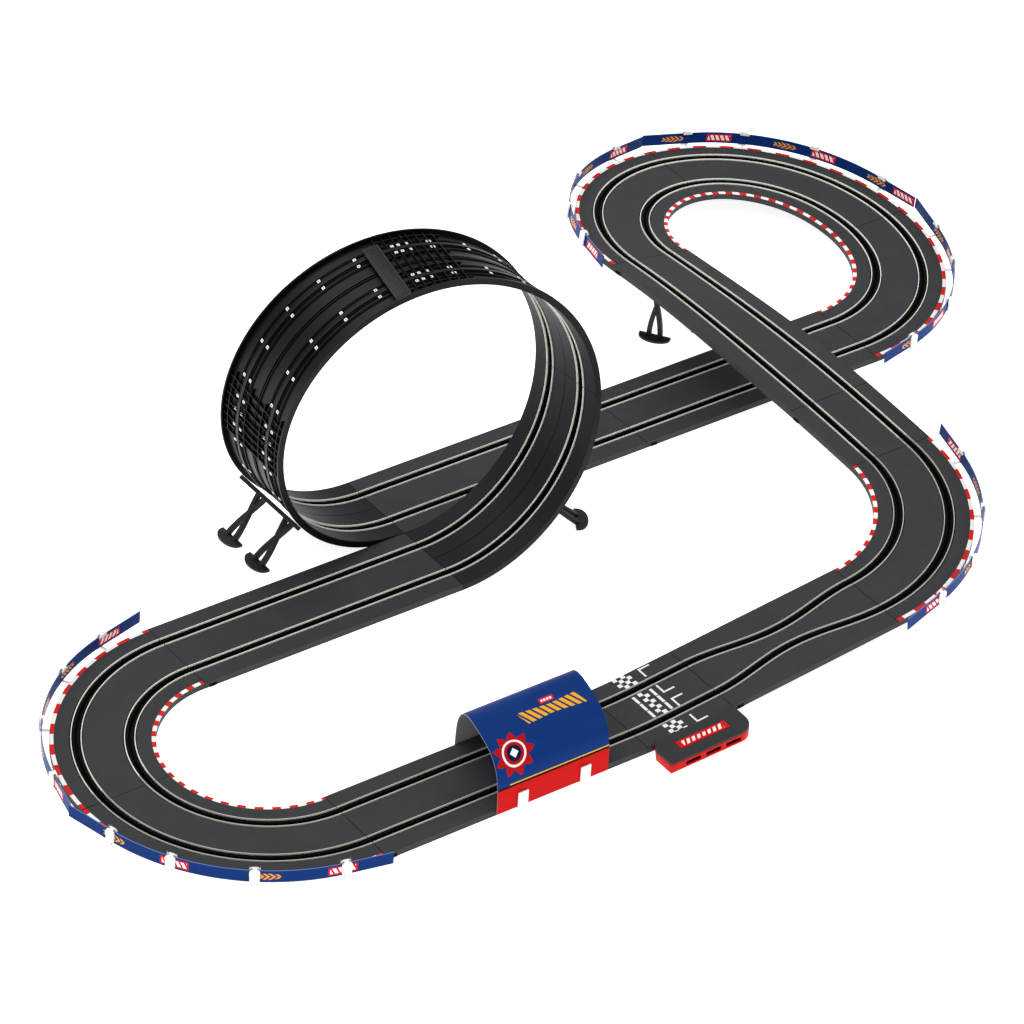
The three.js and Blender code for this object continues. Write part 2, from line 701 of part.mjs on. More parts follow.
// A strut stands on the floor beside the loop and leans in under it. angle is measured
// up the loop from its bottom on the side that side names, and heading points away
// from the loop along the strut's reach over the floor.
function addLoopStrut(name, side, { angle, lateral, reach, heading }) {
  const frame = loopFrame(side > 0 ? angle : 2 * Math.PI - angle);
  const top = frame.place.clone().addScaledVector(frame.up, -TRACK_THICKNESS - STRUT_TOP_GAP);
  const rise = top.z - FLOOR - FOOT_THICKNESS / 2;
  const x = top.x + reach * Math.cos(heading);
  const y = top.y + lateral + reach * Math.sin(heading);
  const length = Math.hypot(reach, rise) - LEG_THICKNESS;
  addSupport(name, x, y, heading, length, Math.atan2(reach, rise));
}

STRUT_LATERALS.forEach((lateral, i) => {
  const lean = { angle: STRUT_ANGLE, lateral, reach: STRUT_REACH, heading: Math.PI };
  addLoopStrut(`loop_strut_${i + 1}`, 1, lean);
});
addLoopStrut('loop_stabiliser', -1, {
  angle: STABILISER_ANGLE,
  lateral: STABILISER_LATERAL,
  reach: STABILISER_REACH,
  heading: -STABILISER_TURN,
});

// A bridge support stands under the slot of a lane, shifted a little outwards from it.
function addBridgeSupport(name, sign, shift) {
  const run = bridge.length - BRIDGE_SUPPORT_SHORT_OF_JOINT;
  const frame = frameAt(bridge, run);
  const lateral = sign * (LANE_OFFSET + shift);
  const under = frame.place.clone()
    .addScaledVector(frame.side, lateral)
    .addScaledVector(frame.up, -TRACK_THICKNESS);
  const heading = Math.PI / 2 + sign * (Math.PI / 2 + BRIDGE_SUPPORT_TURN);
  const length = under.z - FLOOR - FOOT_THICKNESS / 2 - STRUT_TOP_GAP;
  addSupport(name, under.x, under.y, heading, length, 0);
}

addBridgeSupport('bridge_support_west', 1, BRIDGE_SUPPORT_SHIFTS[0]);
addBridgeSupport('bridge_support_east', -1, BRIDGE_SUPPORT_SHIFTS[1]);

// ---- Loop strap and tie plate ---------------------------------------------------

function addStrap() {
  const bottom = -TRACK_THICKNESS - FIT_GAP;
  const frames = loopFrames(STRAP_ANGLE - STRAP_SPAN / 2, STRAP_ANGLE + STRAP_SPAN / 2, 1);
  const section = [
    [-STRAP_SHORT_SIDE, bottom - STRAP_HEIGHT],
    [HALF_WIDTH, bottom - STRAP_HEIGHT],
    [HALF_WIDTH, bottom],
    [-STRAP_SHORT_SIDE, bottom],
  ];
  addPart('loop_strap', sweep(frames, () => section), 'support');
}
addStrap();

function addTiePlate() {
  const bottom = -TRACK_THICKNESS - FIT_GAP;
  const half = TIE_THICKNESS / 2 / LOOP_RADIUS;
  const frames = loopFrames(TIE_ANGLE - half, TIE_ANGLE + half, 1);
  const section = [
    [-HALF_WIDTH, bottom - TIE_HEIGHT],
    [HALF_WIDTH, bottom - TIE_HEIGHT],
    [HALF_WIDTH, bottom],
    [-HALF_WIDTH, bottom],
  ];
  addPart('loop_tie_plate', sweep(frames, () => section), 'support');
}
addTiePlate();

// The origin is the middle of the floor under the whole set.
const bounds = new THREE.Box3().setFromObject(layout);
const middle = bounds.getCenter(new THREE.Vector3());
layout.position.set(-middle.x, -middle.y, -bounds.min.z);
group.updateMatrixWorld(true);

export default group;
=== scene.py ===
"""The looks of a slot car track set with a vertical loop, a bridge, walled curves and a tunnel."""

import logging
import math
from dataclasses import dataclass, field
from enum import Enum
from typing import Callable, Iterable, Sequence

import bmesh
import bpy
from mathutils import Matrix, Vector


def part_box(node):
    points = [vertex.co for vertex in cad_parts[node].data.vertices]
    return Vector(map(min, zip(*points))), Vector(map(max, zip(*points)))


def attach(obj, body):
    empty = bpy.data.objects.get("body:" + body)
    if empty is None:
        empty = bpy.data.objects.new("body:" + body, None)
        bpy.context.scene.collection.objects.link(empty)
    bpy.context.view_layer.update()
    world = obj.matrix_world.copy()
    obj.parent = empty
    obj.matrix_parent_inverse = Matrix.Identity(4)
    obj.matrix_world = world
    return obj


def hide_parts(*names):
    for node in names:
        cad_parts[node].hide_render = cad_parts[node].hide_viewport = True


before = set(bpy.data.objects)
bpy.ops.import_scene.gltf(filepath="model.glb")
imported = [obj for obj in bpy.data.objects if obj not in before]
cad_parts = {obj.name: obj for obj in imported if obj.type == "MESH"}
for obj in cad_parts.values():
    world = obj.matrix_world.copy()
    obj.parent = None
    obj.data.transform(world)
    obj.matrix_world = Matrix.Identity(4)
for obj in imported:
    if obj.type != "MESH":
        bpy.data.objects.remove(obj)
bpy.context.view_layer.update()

log = logging.getLogger("track_set")

MM = 0.001
CIRCUIT_BODY = "circuit"
TUNNEL_BODY = "tunnel"
STRIP_UV = "strip"

Point = tuple[float, float]


def linear(colour: str) -> tuple[float, float, float, float]:
    """Turns a display colour into the linear one that shaders use.

    Args:
        colour: Six hexadecimal digits, red first.

    Returns:
        Linear red, green and blue, and an alpha of 1.
    """
    parts = [int(colour[i : i + 2], 16) / 255 for i in (0, 2, 4)]
    wide = [p / 12.92 if p <= 0.04045 else ((p + 0.055) / 1.055) ** 2.4 for p in parts]
    return (wide[0], wide[1], wide[2], 1.0)


# ---- Node graphs --------------------------------------------------------------


class Num:
    """A number socket that takes part in Python arithmetic."""

    def __init__(self, graph: "Graph", socket: bpy.types.NodeSocket) -> None:
        """Keeps the graph and the socket."""
        self.graph = graph
        self.socket = socket

    def _math(self, operation: str, *values: object) -> "Num":
        """Adds a Math node.

        Args:
            operation: The node's operation.
            values: Its inputs, in order.

        Returns:
            The node's result.
        """
        inputs = dict(enumerate(values))
        node = self.graph.node("ShaderNodeMath", {"operation": operation}, inputs)
        return Num(self.graph, node.outputs[0])

    def __add__(self, other: object) -> "Num":
        """self + other."""
        return self._math("ADD", self, other)

    def __radd__(self, other: object) -> "Num":
        """other + self."""
        return self._math("ADD", other, self)

    def __sub__(self, other: object) -> "Num":
        """self - other."""
        return self._math("SUBTRACT", self, other)

    def __rsub__(self, other: object) -> "Num":
        """other - self."""
        return self._math("SUBTRACT", other, self)

    def __mul__(self, other: object) -> "Num":
        """self * other."""
        return self._math("MULTIPLY", self, other)

    def __rmul__(self, other: object) -> "Num":
        """other * self."""
        return self._math("MULTIPLY", other, self)

    def __truediv__(self, other: object) -> "Num":
        """self / other."""
        return self._math("DIVIDE", self, other)

    def __rtruediv__(self, other: object) -> "Num":
        """other / self."""
        return self._math("DIVIDE", other, self)

    def __neg__(self) -> "Num":
        """-self."""
        return self._math("MULTIPLY", self, -1.0)

    def __abs__(self) -> "Num":
        """The size of self."""
        return self._math("ABSOLUTE", self)

    def __lt__(self, other: object) -> "Num":
        """1 where self is less than other."""
        return self._math("LESS_THAN", self, other)

    def __gt__(self, other: object) -> "Num":
        """1 where self is more than other."""
        return self._math("GREATER_THAN", self, other)

    def __or__(self, other: object) -> "Num":
        """The larger of two masks."""
        return self._math("MAXIMUM", self, other)

    def fraction(self) -> "Num":
        """The part of self after the point."""
        return self._math("FRACT", self)

    def within(self, low: float, high: float) -> "Num":
        """1 where self lies between low and high.

        Args:
            low: The lower limit.
            high: The upper limit.

        Returns:
            The mask.
        """
        return (self > low) * (self < high)

    def angle(self, across: "Num") -> "Num":
        """The angle whose height is self and whose width is across, in radians."""
        return self._math("ARCTAN2", self, across)

    def root(self) -> "Num":
        """The square root of self."""
        return self._math("SQRT", self)


class Graph:
    """A node tree that is being written."""

    def __init__(self, tree: bpy.types.NodeTree) -> None:
        """Keeps the tree."""
        self.tree = tree

    def node(self, kind: str, settings: dict | None = None, inputs: dict | None = None) -> bpy.types.Node:
        """Adds a node.

        Args:
            kind: The node's type.
            settings: Its properties, set first.
            inputs: Values or links by socket name or number.

        Returns:
            The node.
        """
        node = self.tree.nodes.new(kind)
        for name, value in (settings or {}).items():
            setattr(node, name, value)
        for key, value in (inputs or {}).items():
            if isinstance(value, Num):
                value = value.socket
            if isinstance(value, bpy.types.NodeSocket):
                self.tree.links.new(value, node.inputs[key])
            else:
                node.inputs[key].default_value = value
        return node

    def num(self, node: bpy.types.Node, output: str | int = 0) -> Num:
        """One output of a node, as a number."""
        return Num(self, node.outputs[output])

    def mix(self, share: Num, first: object, second: object) -> bpy.types.NodeSocket:
        """Mixes two colours.

        Args:
            share: How much of the second colour, from 0 to 1.
            first: A colour or a colour socket.
            second: A colour or a colour socket.

        Returns:
            The mixed colour's socket.
        """
        settings = {"data_type": "RGBA"}
        node = self.node("ShaderNodeMix", settings, {0: share, 6: first, 7: second})
        return node.outputs[2]

    def noise(self, size: float, detail: float = 2.0) -> Num:
        """Noise over the object's own coordinates.

        Args:
            size: Width of its blotches in metres.
            detail: Its detail setting.

        Returns:
            The noise, about 0.5 on average.
        """
        place = self.node("ShaderNodeTexCoord").outputs["Object"]
        inputs = {"Vector": place, "Scale": 1 / size, "Detail": detail}
        return self.num(self.node("ShaderNodeTexNoise", {}, inputs), "Fac")

    def strip(self) -> tuple[Num, Num]:
        """The two coordinates of the strip map: share along and metres across."""
        source = self.node("ShaderNodeUVMap", {"uv_map": STRIP_UV}).outputs["UV"]
        split = self.node("ShaderNodeSeparateXYZ", {}, {0: source})
        return self.num(split, "X"), self.num(split, "Y")

    def place(self) -> tuple[Num, Num, Num]:
        """The object's own coordinates in metres."""
        source = self.node("ShaderNodeTexCoord").outputs["Object"]
        split = self.node("ShaderNodeSeparateXYZ", {}, {0: source})
        return self.num(split, "X"), self.num(split, "Y"), self.num(split, "Z")


# ---- Finishes -------------------------------------------------------------------


@dataclass(frozen=True)
class Moulding:
    """Moulded plastic or metal: one colour, a little blotchy, with a fine grain."""

    name: str
    colour: str
    roughness: float = 0.5
    metallic: float = 0.0
    grain: float = 0.15
    grain_size: float = 0.6 * MM
    blotch: float = 0.1
    blotch_size: float = 28 * MM
    coat: float = 0.0
    shine: float = 0.2
    glow: float = 0.0

    def paint(self, graph: Graph, base: bpy.types.NodeSocket) -> bpy.types.NodeSocket:
        """Lays prints over the base colour; plain mouldings have none."""
        return base

    def make(self) -> bpy.types.Material:
        """Builds the material.

        Returns:
            The material.
        """
        made = bpy.data.materials.get(self.name)
        if made:
            return made
        made = bpy.data.materials.new(self.name)
        made.use_nodes = True
        made.node_tree.nodes.clear()
        graph = Graph(made.node_tree)
        rgb = linear(self.colour)
        dark = tuple(c * (1 - self.blotch) for c in rgb[:3]) + (1.0,)
        light = tuple(min(c * (1 + self.blotch), 1) for c in rgb[:3]) + (1.0,)
        spots = graph.noise(self.blotch_size, 4.0) * 0.5 + graph.noise(2 * self.grain_size, 2.0) * 0.5
        base = graph.mix(spots, dark, light)
        colour = self.paint(graph, base)
        fine = graph.noise(self.grain_size, 3.0)
        rough = fine * 0.12 + (self.roughness - 0.06)
        settings = {"Strength": self.grain, "Distance": 0.1 * MM, "Height": fine}
        bump = graph.node("ShaderNodeBump", {}, settings)
        shader = graph.node(
            "ShaderNodeBsdfPrincipled",
            {},
            {
                "Base Color": colour,
                "Roughness": rough,
                "Metallic": self.metallic,
                "Coat Weight": self.coat,
                "Coat Roughness": 0.12,
                "Specular IOR Level": self.shine,
                "Emission Color": linear("ffffff"),
                "Emission Strength": self.glow,
                "Normal": bump.outputs[0],
            },
        )
        graph.node("ShaderNodeOutputMaterial", {}, {0: shader.outputs[0]})
        return made


@dataclass(frozen=True)
class Deck(Moulding):
    """The track's driving surface, darker along its two ends."""

    length: float = 342 * MM
    kerbed: bool = False
    kerb_width: float = 4.6 * MM
    kerb_count: int = 10
    half_width: float = 56.7 * MM
    end_line: float = 0.7 * MM

    @classmethod
    def of(cls, plastic: Moulding, name: str, length: float, kerbed: bool = False) -> "Deck":
        """A deck moulded in a plastic.

        Args:
            plastic: The plastic whose colour and grain it takes.
            name: The material's name.
            length: The track piece's length.
            kerbed: Whether kerbs are printed on its edges.

        Returns:
            The deck's finish.
        """
        return cls(
            name,
            plastic.colour,
            plastic.roughness,
            grain=plastic.grain,
            blotch=plastic.blotch,
            shine=plastic.shine,
            length=length,
            kerbed=kerbed,
        )

    def paint(self, graph: Graph, base: bpy.types.NodeSocket) -> bpy.types.NodeSocket:
        """Adds the dark ends, and red and white kerbs on a curve.

        Args:
            graph: The material's graph.
            base: The plastic's colour.

        Returns:
            The printed colour.
        """
        along, across = graph.strip()
        if self.kerbed:
            red = (along * self.kerb_count + 0.25).fraction() < 0.5
            blocks = graph.mix(red, linear("fbfaf7"), linear("dd0f0c"))
            edge = abs(across) > self.half_width - self.kerb_width
            base = graph.mix(edge, base, blocks)
        margin = self.end_line / self.length
        ends = (along < margin) | (along > 1 - margin)
        return graph.mix(ends * 0.75, base, linear("0b0b0c"))


@dataclass(frozen=True)
class StartDeck(Deck):
    """The deck of the connecting section, with start marks in white."""

    cell: float = 5.35 * MM

    def paint(self, graph: Graph, base: bpy.types.NodeSocket) -> bpy.types.NodeSocket:
        """Prints checkers, plain bars and four grid corners.

        Args:
            graph: The material's graph.
            base: The plastic's colour.

        Returns:
            The printed colour.
        """
        along, across = graph.strip()
        x = along * self.length
        marks: Num | None = None
        for x0, x1, y0, y1 in START_CHECKERS:
            inside = x.within(x0 * MM, x1 * MM) * across.within(y0 * MM, y1 * MM)
            column = ((x - x0 * MM) / (2 * self.cell)).fraction() < 0.5
            row = ((across - y0 * MM) / (2 * self.cell)).fraction() < 0.5
            checks = inside * abs(column - row)
            marks = checks if marks is None else marks | checks
        for x0, x1, y0, y1 in START_BARS:
            marks = marks | x.within(x0 * MM, x1 * MM) * across.within(y0 * MM, y1 * MM)
        return super().paint(graph, graph.mix(marks, base, linear("f2f2f0")))


@dataclass(frozen=True)
class RailMetal(Moulding):
    """Contact rails, with painted shade over the set's front straights and small worn patches."""

    # Painted shade: rails in front of this y are darkened towards the darker colour.
    painted_shade_below: float = -0.2
    # The darker colour, used both for the painted shade at the front and for the worn patches.
    shade_and_wear_colour: str = "b4b5ab"
    wear_size: float = 9 * MM
    wear_from: float = 0.62

    def paint(self, graph: Graph, base: bpy.types.NodeSocket) -> bpy.types.NodeSocket:
        """Paints shade on the metal towards the front, and dulls it in small worn patches.

        Args:
            graph: The material's graph.
            base: The bright metal's colour.

        Returns:
            The colour with the painted shade and the wear.
        """
        _, y, _ = graph.place()
        # Painted shade over the front straights, at three quarters strength; the worn patches below are
        # real wear.
        painted_front_shade = (y < self.painted_shade_below) * 0.75
        worn = (graph.noise(self.wear_size, 3.0) > self.wear_from) * 0.25
        return graph.mix(painted_front_shade | worn, base, linear(self.shade_and_wear_colour))


class Mark(Enum):
    """The two kinds of print on a crash barrier."""

    CHEVRONS = "chevrons"
    BLOCK = "block"


@dataclass(frozen=True)
class BarrierPrint(Moulding):
    """A crash barrier's print: red and white blocks and yellow chevrons on blue."""

    length: float = 370 * MM
    marks: tuple[tuple[float, Mark], ...] = ()
    level: float = 6.5 * MM
    block_half: tuple[float, float] = (16 * MM, 5.2 * MM)
    bars_half: tuple[float, float] = (14 * MM, 3.5 * MM)
    bar_pitch: float = 6.2 * MM
    chevrons_half: tuple[float, float] = (14 * MM, 4.4 * MM)
    chevron_pitch: float = 6.0 * MM

    def paint(self, graph: Graph, base: bpy.types.NodeSocket) -> bpy.types.NodeSocket:
        """Prints every mark at its share of the strip.

        Args:
            graph: The material's graph.
            base: The strip's blue.

        Returns:
            The printed colour.
        """
        along, height = graph.strip()
        level = height - self.level
        for share, kind in self.marks:
            offset = (along - share) * self.length
            if kind is Mark.BLOCK:
                block = (abs(offset) < self.block_half[0]) * (abs(level) < self.block_half[1])
                slant = ((offset + level * 0.5) / self.bar_pitch).fraction() > 0.38
                bars = slant * (abs(offset) < self.bars_half[0]) * (abs(level) < self.bars_half[1])
                base = graph.mix(block, base, linear("d51211"))
                base = graph.mix(bars, base, linear("fbfaf7"))
            else:
                bend = ((offset + abs(level) * 1.3) / self.chevron_pitch).fraction() < 0.55
                taper = abs(level) < (self.chevrons_half[1] - abs(offset) * 0.13)
                chevrons = (abs(offset) < self.chevrons_half[0]) * taper * bend
                base = graph.mix(chevrons, base, linear("f2a01a"))
        return base


@dataclass(frozen=True)
class TunnelPrint(Moulding):
    """The tunnel sheet's outside: blue over a red band, with plain racing graphics."""

    length: float = 146 * MM
    girth: float = 212 * MM
    band: float = 29 * MM
    line: float = 2.6 * MM
    gold_line: float = 1.4 * MM
    gold_start: float = 16 * MM
    disc_middle: tuple[float, float] = (27 * MM, 64 * MM)
    disc_spikes: int = 9
    panel_middle: tuple[float, float] = (92 * MM, 100 * MM)
    panel_half: tuple[float, float] = (38 * MM, 7 * MM)
    bar_pitch: float = 8.4 * MM
    plate_rise: float = 15 * MM

    def paint(self, graph: Graph, base: bpy.types.NodeSocket) -> bpy.types.NodeSocket:
        """Prints the bands, the disc and the bars.

        Args:
            graph: The material's graph.
            base: The sheet's blue.

        Returns:
            The printed colour.
        """
        along, up = graph.strip()
        x = along * self.length
        colour = self.paint_bands(graph, base, x, up)
        left, low = self.disc_middle
        colour = self.paint_disc(graph, colour, x - left, up - low)
        left, low = self.panel_middle
        return self.paint_bars(graph, colour, x - left, up - low)

    def paint_bands(
        self, graph: Graph, colour: bpy.types.NodeSocket, x: Num, up: Num
    ) -> bpy.types.NodeSocket:
        """Prints a red band with a black and a gold line over it along both feet.

        Args:
            graph: The material's graph.
            colour: The colour so far.
            x: Metres along the sheet.
            up: Metres round the arch from its near foot.

        Returns:
            The printed colour.
        """
        lined = self.band + self.line
        for side in (up, self.girth - up):
            colour = graph.mix(side < self.band, colour, linear("c20b09"))
            colour = graph.mix(side.within(self.band, lined), colour, linear("08080a"))
            gold = side.within(lined, lined + self.gold_line)
            colour = graph.mix(gold * (x > self.gold_start), colour, linear("e3ae2b"))
        return colour

    def paint_disc(
        self, graph: Graph, colour: bpy.types.NodeSocket, dx: Num, dy: Num
    ) -> bpy.types.NodeSocket:
        """Prints a spiked red disc with a white ring and a white diamond.

        Args:
            graph: The material's graph.
            colour: The colour so far.
            dx: Metres from the disc's middle along the sheet.
            dy: Metres from its middle round the arch.

        Returns:
            The printed colour.
        """
        far = (dx * dx + dy * dy).root()
        turn = dy.angle(dx) * (self.disc_spikes / (2 * math.pi))
        spike = abs(turn.fraction() - 0.5) * 2
        colour = graph.mix(far < (17 * MM + spike * 9 * MM), colour, linear("b50c10"))
        colour = graph.mix(far.within(12.5 * MM, 15 * MM), colour, linear("f4f3ef"))
        colour = graph.mix(far < 9 * MM, colour, linear("0a1440"))
        return graph.mix((abs(dx) + abs(dy)) < 5.5 * MM, colour, linear("f4f3ef"))

    def paint_bars(
        self, graph: Graph, colour: bpy.types.NodeSocket, dx: Num, dy: Num
    ) -> bpy.types.NodeSocket:
        """Prints a row of slanted gold bars, and a small red plate over it.

        Args:
            graph: The material's graph.
            colour: The colour so far.
            dx: Metres from the row's middle along the sheet.
            dy: Metres from its middle round the arch.

        Returns:
            The printed colour.
        """
        wide, tall = self.panel_half
        panel = (abs(dx + dy * 0.4) < wide) * (abs(dy) < (tall + abs(dx) * 0.08))
        bars = ((dx + dy * 0.55) / self.bar_pitch).fraction() < 0.64
        colour = graph.mix(panel * bars, colour, linear("efa91d"))
        rise = abs(dy - self.plate_rise)
        plate = (abs(dx) < 9 * MM) * (rise < 4.2 * MM)
        colour = graph.mix(plate, colour, linear("d8231f"))
        dashes = ((dx / (4 * MM)).fraction() < 0.7) * (abs(dx) < 7 * MM) * (rise < 1.8 * MM)
        return graph.mix(plate * dashes, colour, linear("f6f5f1"))


@dataclass(frozen=True)
class LabelPrint(Moulding):
    """The housing label: a row of white slanted bars on red, taller towards its ends."""

    middle: tuple[float, float] = (0.0, 0.0)
    bars_half: tuple[float, float] = (27 * MM, 2.6 * MM)
    bar_pitch: float = 7 * MM

    def paint(self, graph: Graph, base: bpy.types.NodeSocket) -> bpy.types.NodeSocket:
        """Prints the white marks.

        Args:
            graph: The material's graph.
            base: The plate's red.

        Returns:
            The printed colour.
        """
        x, y, _ = graph.place()
        dx, dy = x - self.middle[0], y - self.middle[1]
        wide, tall = self.bars_half
        slant = ((dx - dy * 0.5) / self.bar_pitch).fraction() < 0.55
        bars = (abs(dx) < wide) * (abs(dy) < (tall + abs(dx) * 0.05)) * slant
        return graph.mix(bars, base, linear("f6f4f1"))


# Start marks on the connecting section: x from its start and y across, in millimetres.
START_CHECKERS = (
    (35.0, 56.4, 35.3, 56.7),
    (43.6, 54.3, -21.4, 21.4),
    (35.0, 56.4, -56.7, -35.3),
)
START_BARS = (
    (68.4, 70.6, 39.0, 54.1),
    (68.4, 83.5, 51.9, 54.1),
    (68.4, 70.6, 5.9, 21.0),
    (68.4, 83.5, 5.9, 8.1),
    (68.4, 70.6, -21.0, -5.9),
    (68.4, 83.5, -8.1, -5.9),
    (68.4, 70.6, -54.1, -39.0),
    (68.4, 83.5, -54.1, -51.9),
    (35.6, 39.0, -20.0, -7.6),
    (35.6, 39.0, -6.2, 6.2),
    (35.6, 39.0, 7.6, 20.0),
    (58.6, 62.0, -20.0, -7.6),
    (58.6, 62.0, -6.2, 6.2),
    (58.6, 62.0, 7.6, 20.0),
)

TRACK_PLASTIC = Moulding("track_plastic", "333436", 0.62, grain=0.5, blotch=0.4)
# Painted shade: the slots, the recesses between the rails and the loop's centre groove are painted near
# black. The joint tongues use the same black as their own colour.
SLOT_SHADE_AND_TONGUE_BLACK = Moulding("slot_black", "040404", 0.6, grain=0.1, shine=0.05)
LOOP_PLASTIC = Moulding("loop_plastic", "1b1d21", 0.45, grain=0.25, shine=0.1)
# Painted shade: the loop's underside is a much darker copy of the loop plastic, standing in for the shade
# on the loop's back.
LOOP_UNDER_SHADE = Moulding("loop_underside", "04060a", 0.38, grain=0.3, blotch=0.3, shine=0.16)
RAIL_METAL = RailMetal("rail_metal", "fbf9ee", 0.4, 0.0, grain=0.1, blotch=0.03, shine=0.4)
TAB_METAL = Moulding("contact_tab_metal", "fffbea", 0.3, 0.0, grain=0.05, shine=0.5)
BARRIER_EDGE = Moulding("barrier_edge", "5f7bb5", 0.45, grain=0.05)
POST_WHITE = Moulding("post_white", "fbfaf6", 0.4, grain=0.05, blotch=0.02)
CLIP_WHITE = Moulding("clip_white", "f6f5f0", 0.35, grain=0.05, blotch=0.03)
TUNNEL_INNER = Moulding("tunnel_inside", "9a9c9f", 0.6, grain=0.1)
COVER_GREY = Moulding("cover_grey", "2c2d2f", 0.6, grain=0.5, blotch=0.08)
BASE_RED = Moulding("base_red", "c20b0b", 0.38, grain=0.1, shine=0.08)
SOCKET_BLACK = Moulding("socket_black", "0c0c0d", 0.4, grain=0.1)
BOARD_GREEN = Moulding("board_green", "1f6b3a", 0.45, grain=0.1)
SUPPORT_BLACK = Moulding("support_black", "1d1b16", 0.5, grain=0.4, blotch=0.12)
STRAP_BLACK = Moulding("strap_black", "060606", 0.4, grain=0.3, shine=0.35)
FLOOR_WHITE = Moulding("floor_white", "ffffff", 0.9, grain=0.0, blotch=0.0, shine=0.0, glow=0.8)


# ---- Route ----------------------------------------------------------------------


@dataclass(frozen=True)
class Station:
    """A place on the route with its own directions."""

    place: Vector
    forward: Vector
    side: Vector
    up: Vector
    share: float

    def point(self, lateral: float, height: float) -> Vector:
        """The point at a distance to the left and a height over the driving surface."""
        return self.place + self.side * lateral + self.up * height


@dataclass(frozen=True)
class Run:
    """One track piece as a length of the route."""

    name: str
    x: float
    y: float
    heading: float
    distance: float
    turn: int
    length: float


class Shape(Enum):
    """What a length of track does."""

    STRAIGHT = 0
    LEFT = 1
    RIGHT = -1


